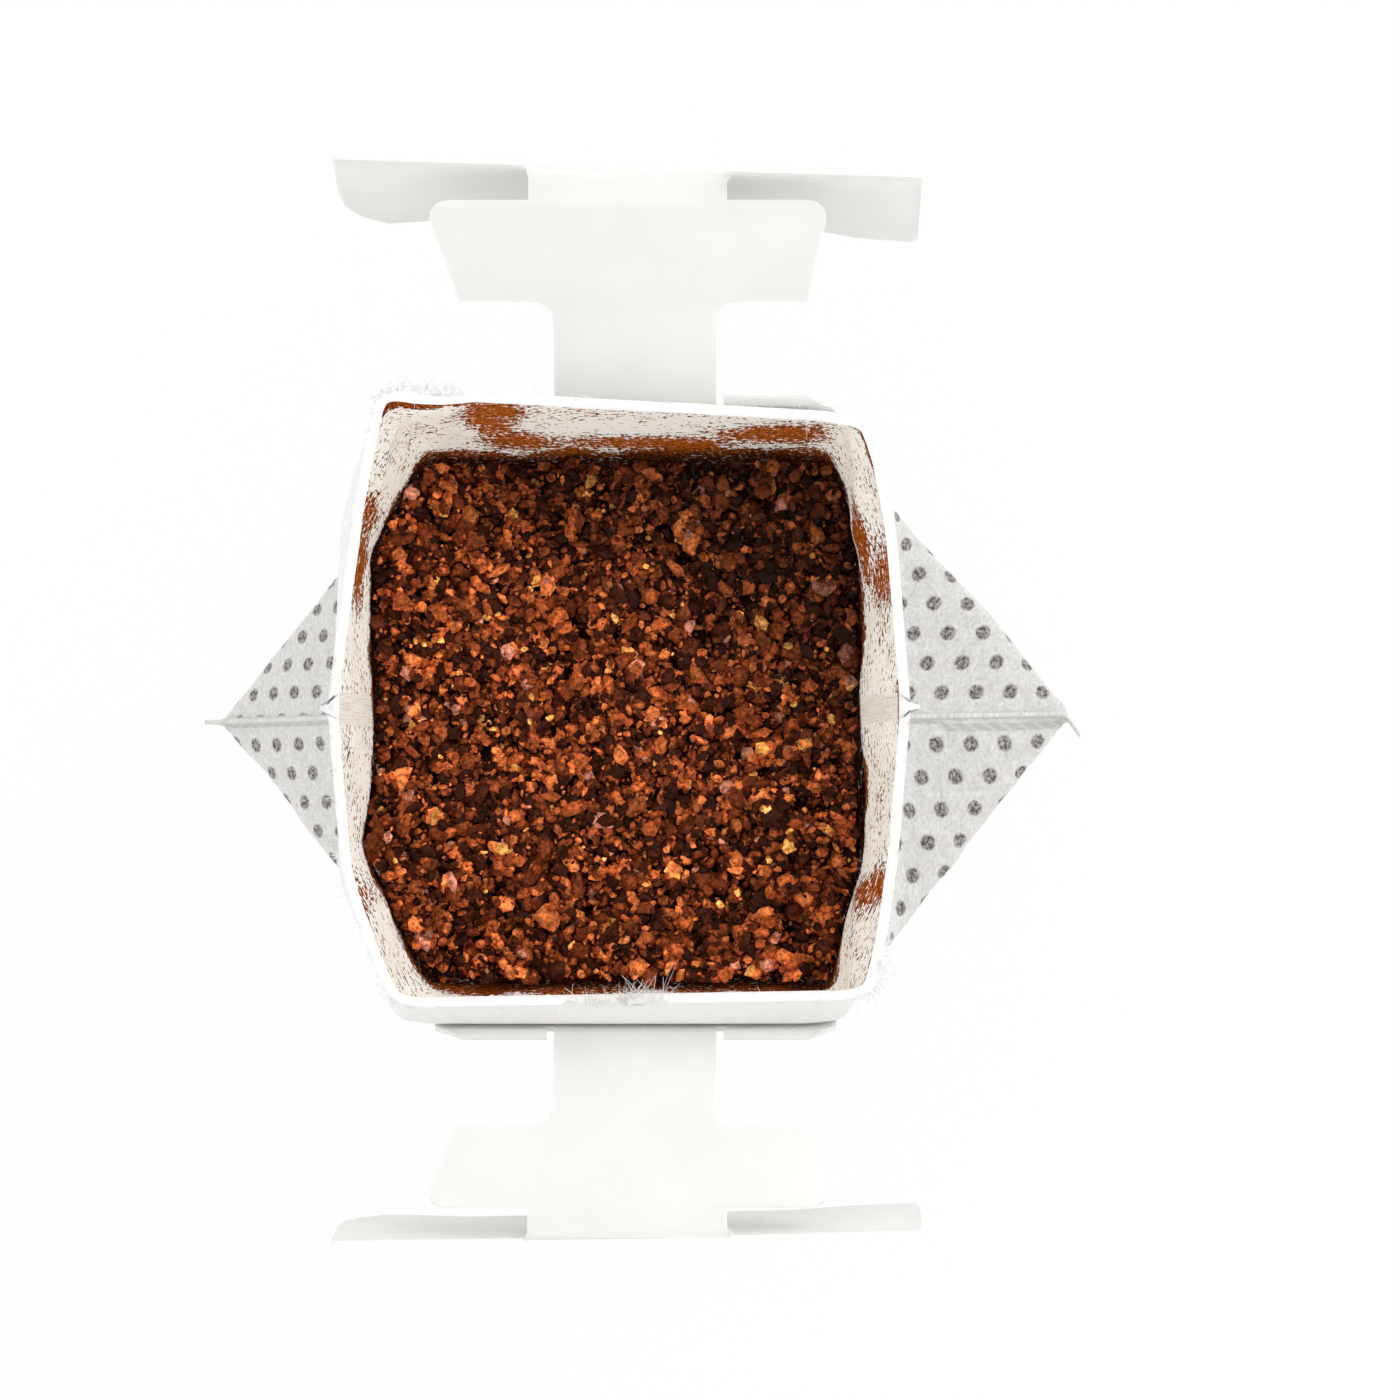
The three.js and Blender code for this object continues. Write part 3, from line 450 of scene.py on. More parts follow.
def lip_edge(across, side):
    """How far the torn lip dips or stands, in millimetres down the cloth."""
    return noise_field(across, across * 0 + side * 9.0, 5 + side, (9, 3.1, 1.1), (0.28, 0.16, 0.10))


def seal_direction(edge, down):
    """Square to the run of a side seam, pointing away from the pouch."""
    across = np.full_like(down, edge * HALF)
    run = (panel_place(REAR, across, np.minimum(down + 1.5, POUCH_HEIGHT))
           - panel_place(REAR, across, np.maximum(down - 1.5, 0)))
    away = np.stack([-run[:, 2] * edge, np.zeros(len(down)), run[:, 0] * edge], -1)
    return away / np.linalg.norm(away, axis=1, keepdims=True)


def curled(place):
    """The right fin's tip curls over towards the front: beyond a line, the way out turns aside."""
    beyond = np.clip((place[..., 0] - CURL_START) / CURL_LENGTH, 0, 1)
    bent = place.copy()
    bent[..., 0] -= 0.4 * CURL_LENGTH * beyond
    bent[..., 1] -= CURL_ASIDE * beyond
    return bent


def outer_rings():
    """Rings of the outer skin: left seal, rear panel left to right, right seal, front panel back."""
    downs = even_rows(POUCH_HEIGHT, ROWS)
    across = np.linspace(-HALF, HALF, COLUMNS + 1)
    down, run = np.meshgrid(downs, across, indexing="ij")
    lip = np.exp(-down / 2.0)
    sheets = {}
    for side in (REAR, FRONT):
        place = skin(side, run, down, -LIP_FLARE * np.exp(-(down / LIP_FADE) ** 2))
        place[..., 2] += lip * lip_edge(run, side)
        place[:, 0, 1] += side * SEAL_HALF
        place[:, -1, 1] += side * SEAL_HALF
        place[-1, 1:-1, 1] += side * SEAL_HALF
        sheets[side] = place
    seals = {}
    for edge in (-1, 1):
        middle = panel_place(REAR, np.full_like(downs, edge * HALF), downs)
        wave = 0.12 * np.sin(downs * 1.9 + edge)
        pressed = np.clip((downs - 3) / 6, 0, 1) * np.clip((POUCH_HEIGHT - 3 - downs) / 4, 0, 1)
        wide = SEAL_WIDTH * (1 - 0.72 * pressed) + wave
        seals[edge] = middle + seal_direction(edge, downs) * wide[:, None]
    thick = np.array([0, SEAL_HALF * 0.8, 0])
    rings = np.concatenate([
        (seals[-1] + thick)[:, None], sheets[REAR], (seals[1] + thick)[:, None],
        (seals[1] - thick)[:, None], sheets[FRONT][:, ::-1], (seals[-1] - thick)[:, None],
    ], axis=1)
    rings = curled(rings)
    hem = rings[-1:].copy()
    hem[..., 2] -= SEAL_WIDTH
    rings = np.concatenate([rings, hem])
    u = np.concatenate([[-HALF - 1], across, [HALF + 1], [HALF + 1], across[::-1], [-HALF - 1]])
    v = np.append(downs, POUCH_HEIGHT + SEAL_WIDTH)
    return rings, np.tile(u, (len(v), 1)), np.tile(v[:, None], (1, len(u)))


def cavity_half(down):
    """How far the inside reaches across: the fins are pressed shut towards their tips."""
    return HALF - CAVITY_MARGIN - 0.45 * np.maximum(0, down - 42)


def inner_rings():
    """Rings of the inner skin, a cloth's thickness inside the outer one. Where the coffee buries
    it, the skin keeps away from the sharp folds of the fins."""
    downs = even_rows(CAVITY_END, ROWS)
    share = np.linspace(-1, 1, COLUMNS + 1)
    down = np.tile(downs[:, None], (1, COLUMNS + 1))
    buried = np.clip((down - BURIED_DOWN) / 8, 0, 1)
    run = (cavity_half(downs)[:, None] - 22 * buried) * share
    sheets = []
    inset = CLOTH + LIP_FLUFF * np.exp(-(down / LIP_FADE) ** 2)
    for side in (REAR, FRONT):
        place = skin(side, run, down, inset)
        place[..., :2] *= (1 - 0.22 * buried)[..., None]
        place[..., 2] += np.exp(-down / 2.0) * lip_edge(run, side)
        sheets.append(place)
    rings = np.concatenate([sheets[0], sheets[1][:, ::-1]], axis=1)
    u = np.concatenate([run, run[:, ::-1]], axis=1)
    return rings, u, np.concatenate([down, down], axis=1)


def lip_faces(start):
    """The band between the outer lip ring, which has two more points at each seal, and the inner."""
    i = np.arange(COLUMNS)
    rear = COLUMNS + 1
    quads = []
    for outer, inner in ((1 + i, start + i), (rear + 3 + i, start + rear + i)):
        quads.append(np.stack([outer, inner, inner + 1, outer + 1], -1))
    last, right, front_end = 2 * rear + 3, start + COLUMNS, start + 2 * rear - 1
    corners = np.array([
        [rear, right, rear + 1], [rear + 1, right, right + 1], [rear + 1, right + 1, rear + 2],
        [rear + 2, right + 1, rear + 3], [last - 1, front_end, last], [last, front_end, start],
        [last, start, 0], [0, start, 1],
    ])
    return np.concatenate(quads), corners


COFFEE_TOP = -16.6
BED_DROP = 1.1

# side, place across and down, half width and half height: where coffee dust is rubbed on thick
SMEARS = [
    (REAR, -11.0, 6.0, 2.8, 6.5), (REAR, -9.0, 12.0, 4.0, 2.5), (REAR, 3.0, 12.5, 9.0, 1.8),
    (REAR, 14.0, 10.5, 5.5, 2.6), (REAR, 34.0, 6.0, 2.6, 5.5), (REAR, 30.5, 11.5, 4.5, 2.2),
    (REAR, -30.0, 6.0, 2.6, 6.5), (REAR, -34.0, 11.0, 4.0, 2.0), (FRONT, -29.5, 5.0, 2.2, 5.5),
    (FRONT, 29.5, 8.0, 1.8, 4.5), (REAR, 44.6, 6.5, 0.55, 6.5),
]


def smears(side, across, down):
    """How thickly dust lies: near 1 in the middle of a smear, falling off to 0 all round it."""
    total = np.zeros(len(across))
    for where, middle_across, middle_down, wide, high in SMEARS:
        off = ((across - middle_across) / wide) ** 2 + ((down - middle_down) / high) ** 2
        total = np.maximum(total, np.where(side == where, np.exp(-off ** 1.5), 0))
    return total


def bed_height(x, y):
    """The bed's level: low hills and hollows on the scale of a few grains."""
    return COFFEE_TOP - BED_DROP + noise_field(x, y, 77, (17, 7, 3.2), (0.7, 0.45, 0.3))


def build_pouch():
    """One closed skin: outer rings, bottom hem, inner rings, and the lip that joins them."""
    outer, outer_u, outer_v = outer_rings()
    inner, inner_u, inner_v = inner_rings()
    outer_count, inner_count = outer.shape[1], inner.shape[1]
    start = outer.shape[0] * outer_count
    band, corners = lip_faces(start)
    faces = [
        ring_faces(outer.shape[0], outer_count),
        cap_faces(start - outer_count, outer_count),
        ring_faces(inner.shape[0], inner_count, start, inward=True),
        cap_faces(start + (inner.shape[0] - 1) * inner_count, inner_count, inward=True),
        band, corners,
    ]
    points = np.concatenate([outer.reshape(-1, 3), inner.reshape(-1, 3)])
    piece = mesh_piece("pouch", points, faces)
    across = np.concatenate([outer_u.ravel(), inner_u.ravel()])
    down = np.concatenate([outer_v.ravel(), inner_v.ravel()])
    front = np.concatenate([outer[..., 1].ravel() < 0, inner[..., 1].ravel() < 0])
    flat_map(piece, "flat_cloth", across + np.where(front, 150.7, 50.0), down + np.where(front, 1.4, 2.55), 200.0)
    point_values(piece, "down", down)
    point_values(piece, "across", across)
    point_values(piece, "inside", np.concatenate([np.zeros(start), np.ones(inner[..., 0].size)]))
    over = inner[..., 2] - bed_height(inner[..., 0], inner[..., 1])
    point_values(piece, "over_coffee", np.concatenate([np.full(start, 20.0), over.ravel()]))
    point_values(piece, "smear", smears(np.where(front, FRONT, REAR), across, down))
    print("pouch:", len(piece.data.polygons), "faces")
    return piece


pouch = build_pouch()

# %% [markdown]
# ## Filter cloth
#
# The cloth is pressed from loose fibres, so it has no weave: it is faintly mottled, and small
# round bond dots, set like a honeycomb, hold it together. The fibres are melted clear at a dot,
# so the dark inside shows through it; the dots' dark colour is painted for the coffee and shade
# inside, and fades towards the lip. Both follow the flat cloth, so the pattern folds with it.
# Lower down the outside turns greyer: partly the dark coffee behind the thin cloth, partly painted
# shade. The inner side is dusted: thick at the coffee and in the rubbed places, thin streaks above,
# and a brown line under the lip. A faint painted glow on its clean parts stands in for the light
# that comes through the thin cloth.

# %% Node shorthand
def material(name):
    """A new material with its node tree and its shader."""
    made = bpy.data.materials.new(name)
    made.use_nodes = True
    tree = made.node_tree
    return made, tree, tree.nodes["Principled BSDF"]


def node(tree, kind, settings=None, **values):
    """Adds a node, sets its own settings, and fills or links its inputs by name."""
    made = tree.nodes.new(kind)
    for key, value in (settings or {}).items():
        setattr(made, key, value)
    for key, value in values.items():
        socket = made.inputs[key.replace("_", " ")] if not key.startswith("i") else made.inputs[int(key[1:])]
        if hasattr(value, "is_output"):
            tree.links.new(value, socket)
        else:
            socket.default_value = value
    return made


def maths(tree, operation, first, second=0.0, third=0.0):
    """One sum on one or more numbers."""
    return node(tree, "ShaderNodeMath", {"operation": operation}, i0=first, i1=second, i2=third).outputs[0]


def between(tree, value, low, high, smooth=True):
    """Rises from 0 to 1 as the value goes from low to high."""
    kind = {"interpolation_type": "SMOOTHSTEP" if smooth else "LINEAR"}
    return node(tree, "ShaderNodeMapRange", kind, i0=value, i1=low, i2=high).outputs[0]


def noise(tree, vector, scale, detail=3.0, roughness=0.55):
    """A cloudy pattern's level, about 0.5 on average."""
    made = node(tree, "ShaderNodeTexNoise", None, Vector=vector, Scale=scale, Detail=detail, Roughness=roughness)
    return made.outputs["Fac"]


def mixed(tree, share, first, second):
    """A colour between two, by a share."""
    made = node(tree, "ShaderNodeMix", {"data_type": "RGBA"})
    for socket, value in ((made.inputs[0], share), (made.inputs[6], first), (made.inputs[7], second)):
        if hasattr(value, "is_output"):
            tree.links.new(value, socket)
        else:
            socket.default_value = value
    return made.outputs[2]


def bumped(tree, shader, height, strength, distance):
    """Tilts the surface's shading by the slope of a height pattern."""
    made = node(tree, "ShaderNodeBump", None, Height=height, Strength=strength, Distance=distance)
    tree.links.new(made.outputs[0], shader.inputs["Normal"])


# %% Filter cloth material
DOT_PITCH = 3.4
DOT_ROW = 2.45
DOT_RADIUS = 0.66
DOT_LONG = 0.90
DOT_SHORT = 1.10
CLOTH_WHITE = (0.86, 0.855, 0.84, 1)
CLOTH_GREY = (0.34, 0.32, 0.30, 1)
DOT_COLOUR = (0.082, 0.060, 0.048, 1)
WALL_CREAM = (1.0, 0.97, 0.90, 1)
WALL_SHADE = (0.98, 0.91, 0.81, 1)
PAINTED_WALL_GLOW = 0.15
DUST_BROWN = (0.50, 0.120, 0.014, 1)
DUST_DARK = (0.120, 0.025, 0.005, 1)
LIP_WHITE = (0.96, 0.96, 0.955, 1)


def dot_distance(tree, across, down):
    """Distance in millimetres to the nearest bond dot: the nearer of two square grids,
    the second shifted by half a step each way, which together make a honeycomb. The dots are
    a little longer down the cloth than across it."""
    found = []
    for shift in (0.0, 0.5):
        parts = []
        for value, pitch, squash in ((down, DOT_PITCH, DOT_LONG), (across, 2 * DOT_ROW, DOT_SHORT)):
            cell = maths(tree, "ADD", maths(tree, "DIVIDE", value, pitch), shift)
            off = maths(tree, "SUBTRACT", maths(tree, "FRACT", cell), 0.5)
            parts.append(maths(tree, "MULTIPLY", off, pitch * squash))
        square = maths(tree, "ADD", maths(tree, "POWER", parts[0], 2.0), maths(tree, "POWER", parts[1], 2.0))
        found.append(maths(tree, "SQRT", square))
    return maths(tree, "MINIMUM", *found)


def filter_cloth():
    """Mottled white cloth with bond dots outside, and dust over it inside."""
    made, tree, shader = material("filter_cloth")
    shader.inputs["Subsurface Radius"].default_value = (1.0, 0.95, 0.9)
    shader.inputs["Subsurface Scale"].default_value = 0.0004
    flat = node(tree, "ShaderNodeUVMap", {"uv_map": "flat_cloth"}).outputs[0]
    flat_mm = node(tree, "ShaderNodeVectorMath", {"operation": "SCALE"}, i0=flat, i3=200.0).outputs[0]
    axis = node(tree, "ShaderNodeSeparateXYZ", None, i0=flat_mm)
    down = node(tree, "ShaderNodeAttribute", {"attribute_name": "down"}).outputs["Fac"]
    across = node(tree, "ShaderNodeAttribute", {"attribute_name": "across"}).outputs["Fac"]
    inside = node(tree, "ShaderNodeAttribute", {"attribute_name": "inside"}).outputs["Fac"]

    wander = noise(tree, flat_mm, 0.9)
    ragged = maths(tree, "MULTIPLY", maths(tree, "SUBTRACT", noise(tree, flat_mm, 3.2, 4.0, 0.7), 0.5), 0.34)
    reach = maths(tree, "ADD", dot_distance(tree, axis.outputs[0], axis.outputs[1]), ragged)
    dots = maths(tree, "SUBTRACT", 1.0, between(tree, reach, DOT_RADIUS - 0.16, DOT_RADIUS + 0.14))
    mottle_in_dot = between(tree, noise(tree, flat_mm, 3.0, 5.0, 0.8), 0.38, 0.60)
    near_lip = between(tree, down, 2.0, 16.0)
    off_seam = maths(tree, "SUBTRACT", 1.0, between(tree, maths(tree, "ABSOLUTE", across), 44.6, 45.0))
    dots = maths(tree, "MULTIPLY", dots, off_seam)
    # The dots' dark colour is painted: the coffee and shade inside seen through them, faded near the lip.
    dot_depth = maths(tree, "MULTIPLY", maths(tree, "MULTIPLY", dots, near_lip),
                      maths(tree, "ADD", maths(tree, "MULTIPLY", mottle_in_dot, 0.72), 0.28))

    # The outside greys below the lip: partly the dark coffee behind the thin cloth, partly painted shade.
    coffee_behind_and_painted_shade = between(tree, down, 10.0, 22.0)
    clouds = between(tree, wander, 0.25, 0.8)
    fibres = between(tree, noise(tree, flat_mm, 2.8, 8.0, 0.85), 0.36, 0.68)
    grey_share = maths(tree, "ADD", maths(tree, "MULTIPLY", clouds, 0.18), maths(tree, "MULTIPLY", fibres, 0.44))
    grey_share = maths(tree, "MULTIPLY", maths(tree, "ADD", grey_share, 0.06), coffee_behind_and_painted_shade)
    outside = mixed(tree, grey_share, CLOTH_WHITE, CLOTH_GREY)
    outside = mixed(tree, dot_depth, outside, DOT_COLOUR)

    smear = node(tree, "ShaderNodeAttribute", {"attribute_name": "smear"}).outputs["Fac"]
    streak_place = node(tree, "ShaderNodeMapping", None, Vector=flat_mm, Scale=(0.7, 4.6, 1.0)).outputs[0]
    streaks = noise(tree, streak_place, 1.0, 3.0, 0.6)
    fine = noise(tree, flat_mm, 2.2, 5.0, 0.75)
    specks = maths(tree, "ADD", maths(tree, "MULTIPLY", streaks, 0.38), maths(tree, "MULTIPLY", fine, 0.62))
    specks = between(tree, specks, 0.36, 0.64, smooth=False)
    patches = noise(tree, flat_mm, 0.22, 3.0, 0.6)
    rim_line = maths(tree, "SUBTRACT", between(tree, down, 0.3, 0.5), between(tree, down, 1.0, 2.4))
    rim_line = maths(tree, "MULTIPLY", rim_line, between(tree, patches, 0.30, 0.44))
    cover = maths(tree, "ADD", maths(tree, "MULTIPLY", patches, 0.70), -0.03)
    over = node(tree, "ShaderNodeAttribute", {"attribute_name": "over_coffee"}).outputs["Fac"]
    at_coffee = maths(tree, "SUBTRACT", 1.0, between(tree, over, 0.8, 2.6))
    for amount, share in ((smear, 0.47), (rim_line, 0.80), (at_coffee, 0.50)):
        cover = maths(tree, "ADD", cover, maths(tree, "MULTIPLY", amount, share))
    dust = between(tree, maths(tree, "ADD", specks, cover), 0.98, 1.03)
    dust = maths(tree, "MULTIPLY", dust, between(tree, down, 0.25, 0.4))
    thick = between(tree, maths(tree, "SUBTRACT", fine, maths(tree, "MULTIPLY", smear, 0.05)), 0.42, 0.58)
    cream = mixed(tree, between(tree, streaks, 0.35, 0.6), WALL_CREAM, WALL_SHADE)
    wall = mixed(tree, dust, cream, mixed(tree, thick, DUST_BROWN, DUST_DARK))

    covered = maths(tree, "MULTIPLY", dust, inside)
    clean = maths(tree, "SUBTRACT", 0.85, maths(tree, "MULTIPLY", covered, 0.85))
    tree.links.new(clean, shader.inputs["Subsurface Weight"])
    # Painted light: a faint glow on the clean inner wall, for the light that comes through the cloth.
    glow = maths(tree, "MULTIPLY", maths(tree, "SUBTRACT", inside, covered), PAINTED_WALL_GLOW)
    tree.links.new(cream, shader.inputs["Emission Color"])
    tree.links.new(glow, shader.inputs["Emission Strength"])
    made.cycles.emission_sampling = "NONE"
    face = mixed(tree, inside, outside, wall)
    lip = maths(tree, "SUBTRACT", 1.0, between(tree, down, 0.1, 0.3))
    tree.links.new(mixed(tree, lip, face, LIP_WHITE), shader.inputs["Base Color"])
    shader.inputs["Roughness"].default_value = 0.92
    shader.inputs["Specular IOR Level"].default_value = 0.06
    relief = maths(tree, "SUBTRACT", maths(tree, "MULTIPLY", fibres, 0.5), dots)
    bumped(tree, shader, relief, 0.55, 0.00012)
    return made


pouch.data.materials.append(filter_cloth())
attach(pouch, "root")
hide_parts("filter_bag")

# %% [markdown]
# ## Torn fibres
#
# The top of the pouch was torn off, and long fibres of the cloth stand out of the torn lip. Each
# is a thin three-sided tube along a curved path. They are sparse along the lip and thick in a few
# tufts, where the tear caught.

# %% Fibres along the lip
FIBRE_STEPS = 6
FIBRE_SIDES = 3
FIBRE_COUNT = 300
FIBRE_RADIUS = (0.018, 0.048)
FIBRE_LENGTH = (0.3, 1.1)
# side, place across the lip, spread, how many, greatest length, and 1 for outward or -1 for inward
TUFTS = [
    (REAR, -19.5, 1.2, 60, 1.0, 1), (REAR, -15.5, 1.6, 70, 1.2, 1), (REAR, 16, 1.0, 14, 1.2, 1),
    (FRONT, 0.4, 1.5, 150, 2.2, -1), (FRONT, -3.5, 0.9, 60, 1.5, -1), (FRONT, -21, 2.0, 34, 1.2, 1),
    (FRONT, 21, 1.6, 36, 1.4, 1), (FRONT, 24, 1.0, 10, 2.4, 1), (FRONT, -30, 3.0, 26, 1.2, 1),
    (REAR, -44, 1.2, 22, 1.0, 1),
]


def lip_spots(rng):
    """Side, place across, length and way for every fibre: even ones first, then the tufts."""
    side = rng.choice([REAR, FRONT], FIBRE_COUNT)
    across = rng.uniform(-HALF, HALF, FIBRE_COUNT)
    length = rng.uniform(*FIBRE_LENGTH, FIBRE_COUNT)
    way = rng.choice([1.0, -1.0], FIBRE_COUNT)
    for tuft_side, middle, spread, count, longest, tuft_way in TUFTS:
        side = np.append(side, np.full(count, tuft_side))
        across = np.append(across, np.clip(rng.normal(middle, spread, count), -HALF, HALF))
        length = np.append(length, longest * rng.uniform(0.25, 1, count) ** 1.3)
        way = np.append(way, np.full(count, tuft_way))
    return side, across, length, way


def fibre_paths(rng):
    """Each path is a root, a heading and a bend: root + heading * t + bend * t squared."""
    side, across, length, way = lip_spots(rng)
    count = len(side)
    root = np.zeros((count, 3))
    away = np.zeros((count, 3))
    for which in (REAR, FRONT):
        here = side == which
        root[here] = panel_place(which, across[here], np.full(here.sum(), 0.15))
        away[here] = panel_normal(which, across[here], np.full(here.sum(), 0.5))
    root += away * rng.uniform(-0.25, 0.45, (count, 1))
    heading = away * way[:, None] * rng.uniform(0.2, 1.0, (count, 1)) + rng.normal(0, 0.4, (count, 3))
    heading[:, 2] = np.abs(heading[:, 2]) * 0.6 + 0.25
    heading /= np.linalg.norm(heading, axis=1, keepdims=True)
    bend = rng.normal(0, 0.45, (count, 3))
    t = np.linspace(0, 1, FIBRE_STEPS)[None, :, None]
    return root[:, None] + length[:, None, None] * (heading[:, None] * t + bend[:, None] * t * t), count


def build_fibres():
    """A three-sided tube round each path, narrowing to its tip."""
    rng = np.random.default_rng(31)
    path, count = fibre_paths(rng)
    run = np.gradient(path, axis=1)
    run /= np.linalg.norm(run, axis=2, keepdims=True)
    first = np.cross(run, np.array([0.3, 0.2, 1.0]))
    first /= np.linalg.norm(first, axis=2, keepdims=True)
    second = np.cross(run, first)
    turn = np.arange(FIBRE_SIDES) / FIBRE_SIDES * 2 * np.pi
    radius = rng.uniform(*FIBRE_RADIUS, (count, 1, 1, 1)) * np.linspace(1, 0.35, FIBRE_STEPS)[None, :, None, None]
    ring = first[:, :, None] * np.cos(turn)[:, None] + second[:, :, None] * np.sin(turn)[:, None]
    points = path[:, :, None] + radius * ring
    per = FIBRE_STEPS * FIBRE_SIDES
    base = (np.arange(count) * per)[:, None, None]
    j = (np.arange(FIBRE_STEPS - 1) * FIBRE_SIDES)[None, :, None]
    i = np.arange(FIBRE_SIDES)[None, None]
    after = (i + 1) % FIBRE_SIDES
    quads = np.stack([base + j + i, base + j + after, base + j + FIBRE_SIDES + after,
                      base + j + FIBRE_SIDES + i], -1).reshape(-1, 4)
    start = (np.arange(count) * per)[:, None]
    ends = np.concatenate([start + np.array([2, 1, 0]), start + per - FIBRE_SIDES + np.array([0, 1, 2])])
    print(count, "fibres on the lip")
    return mesh_piece("torn_fibres", points.reshape(-1, 3), [quads, ends])


def fibre_white():
    """Plain white fibre with a soft sheen, slightly uneven along its length."""
    made, tree, shader = material("fibre_white")
    place = node(tree, "ShaderNodeTexCoord").outputs["Object"]
    level = between(tree, noise(tree, place, 900.0), 0.3, 0.7)
    tree.links.new(mixed(tree, level, (0.93, 0.93, 0.92, 1), (0.80, 0.79, 0.76, 1)), shader.inputs["Base Color"])
    shader.inputs["Roughness"].default_value = 0.7
    return made


fibres = build_fibres()
fibres.data.materials.append(fibre_white())
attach(fibres, "root")

# %% [markdown]
# ## The coffee bed
#
# Crushed coffee is angular: big flakes and chips among fine crumbs. Under the grains lies a dark
# uneven bed that closes every gap; its near-black colour is partly the fine crumb and partly painted
# shade deep between the grains. It is a disc whose rim follows the inside of the pouch, and its body
# narrows below to stay inside the cloth.

# %% Coffee bed
BED_COLUMNS = 70
BED_DEPTH_ROWS = 26
BED_RINGS = 44
BED_INSET = 0.9
COFFEE_END = 50.0


def down_at_height(side, across, height):
    """Halves the interval again and again until the cloth's height is the one asked for."""
    upper, lower = np.zeros_like(across), np.full_like(across, POUCH_HEIGHT)
    for _ in range(24):
        middle = (upper + lower) / 2
        above = panel_place(side, across, middle)[..., 2] > height
        upper, lower = np.where(above, middle, upper), np.where(above, lower, middle)
    return upper


def bed_rings():
    """Rings from the coffee's rim down to its foot, just inside the cloth."""
    share = np.linspace(-1, 1, BED_COLUMNS + 1)
    fraction = np.linspace(0, 1, BED_DEPTH_ROWS + 1)[:, None]
    sheets = []
    for side in (REAR, FRONT):
        start = down_at_height(side, share * (HALF - CAVITY_MARGIN), COFFEE_TOP - BED_DROP)
        down = start + (COFFEE_END - start) * fraction
        across = share * (cavity_half(down) - 0.5) * (1 - 0.55 * np.minimum(1, 4 * fraction))
        sheet = skin(side, across, down, CLOTH + BED_INSET)
        sheet[..., :2] *= (1 - 0.12 * np.minimum(1, 10 * fraction) - 0.2 * np.minimum(1, 3 * fraction))[..., None]
        sheets.append(sheet)
    return np.concatenate([sheets[0], sheets[1][:, ::-1]], axis=1)


def build_bed():
    """The rings below, and on top smaller and smaller copies of the rim, set to the bed's level."""
    body = bed_rings()
    count = body.shape[1]
    rim = body[0]
    middle = rim.mean(axis=0)
    share = (1 - np.arange(1, BED_RINGS) / BED_RINGS)[:, None, None]
    top = middle + (rim - middle) * share
    top[..., 2] = bed_height(top[..., 0], top[..., 1])
    rings = np.concatenate([top[::-1], body])
    peak = len(rings) * count
    i = np.arange(count)
    fan = np.stack([np.full(count, peak), (i + 1) % count, i], -1)
    points = np.concatenate([rings.reshape(-1, 3), middle[None]])
    foot = (len(rings) - 1) * count
    piece = mesh_piece("coffee_bed", points, [ring_faces(len(rings), count), fan, cap_faces(foot, count)])
    print("coffee bed:", len(piece.data.polygons), "faces")
    return piece, rim


bed, coffee_rim = build_bed()

# %% [markdown]
# ## Crushed grains
#
# A grain is a twenty-sided lump whose corners are pushed in and out, squashed along one axis and
# turned anyhow. Thousands are made at once as one array. Each carries a roast colour of its own:
# mostly very dark, some red-brown, a few amber chips of husk and a few dull pinkish flakes. Over
# that, painted shade makes all of them darker towards the rear right, where the walls shade the coffee.

# %% Grain shapes
def icosahedron():
    """Twelve corners from three golden rectangles, and the twenty faces between them."""
    g = (1 + 5 ** 0.5) / 2
    corners = np.array([[-1, g, 0], [1, g, 0], [-1, -g, 0], [1, -g, 0], [0, -1, g], [0, 1, g],
                        [0, -1, -g], [0, 1, -g], [g, 0, -1], [g, 0, 1], [-g, 0, -1], [-g, 0, 1]])
    faces = np.array([[0, 11, 5], [0, 5, 1], [0, 1, 7], [0, 7, 10], [0, 10, 11], [1, 5, 9], [5, 11, 4],
                      [11, 10, 2], [10, 7, 6], [7, 1, 8], [3, 9, 4], [3, 4, 2], [3, 2, 6], [3, 6, 8],
                      [3, 8, 9], [4, 9, 5], [2, 4, 11], [6, 2, 10], [8, 6, 7], [9, 8, 1]])
    return corners / np.linalg.norm(corners[0]), faces


def split_once(corners, faces):
    """Each face becomes four, through the middles of its edges, pushed out to the unit ball."""
    edges = np.sort(np.concatenate([faces[:, [0, 1]], faces[:, [1, 2]], faces[:, [2, 0]]]), axis=1)
    unique, which = np.unique(edges, axis=0, return_inverse=True)
    middle = corners[unique].mean(axis=1)
    middle /= np.linalg.norm(middle, axis=1, keepdims=True)
    ab, bc, ca = (which.ravel() + len(corners)).reshape(3, -1)
    a, b, c = faces.T
    faces = np.concatenate([np.stack(part, -1) for part in ((a, ab, ca), (ab, b, bc), (ca, bc, c), (ab, bc, ca))])
    return np.concatenate([corners, middle]), faces


def random_turns(rng, count):
    """Rotation matrices from random unit quaternions."""
    q = rng.normal(size=(count, 4))
    w, x, y, z = (q / np.linalg.norm(q, axis=1, keepdims=True)).T
    return np.stack([
        np.stack([1 - 2 * (y * y + z * z), 2 * (x * y - z * w), 2 * (x * z + y * w)], -1),
        np.stack([2 * (x * y + z * w), 1 - 2 * (x * x + z * z), 2 * (y * z - x * w)], -1),
        np.stack([2 * (x * z - y * w), 2 * (y * z + x * w), 1 - 2 * (x * x + y * y)], -1),
    ], 1)


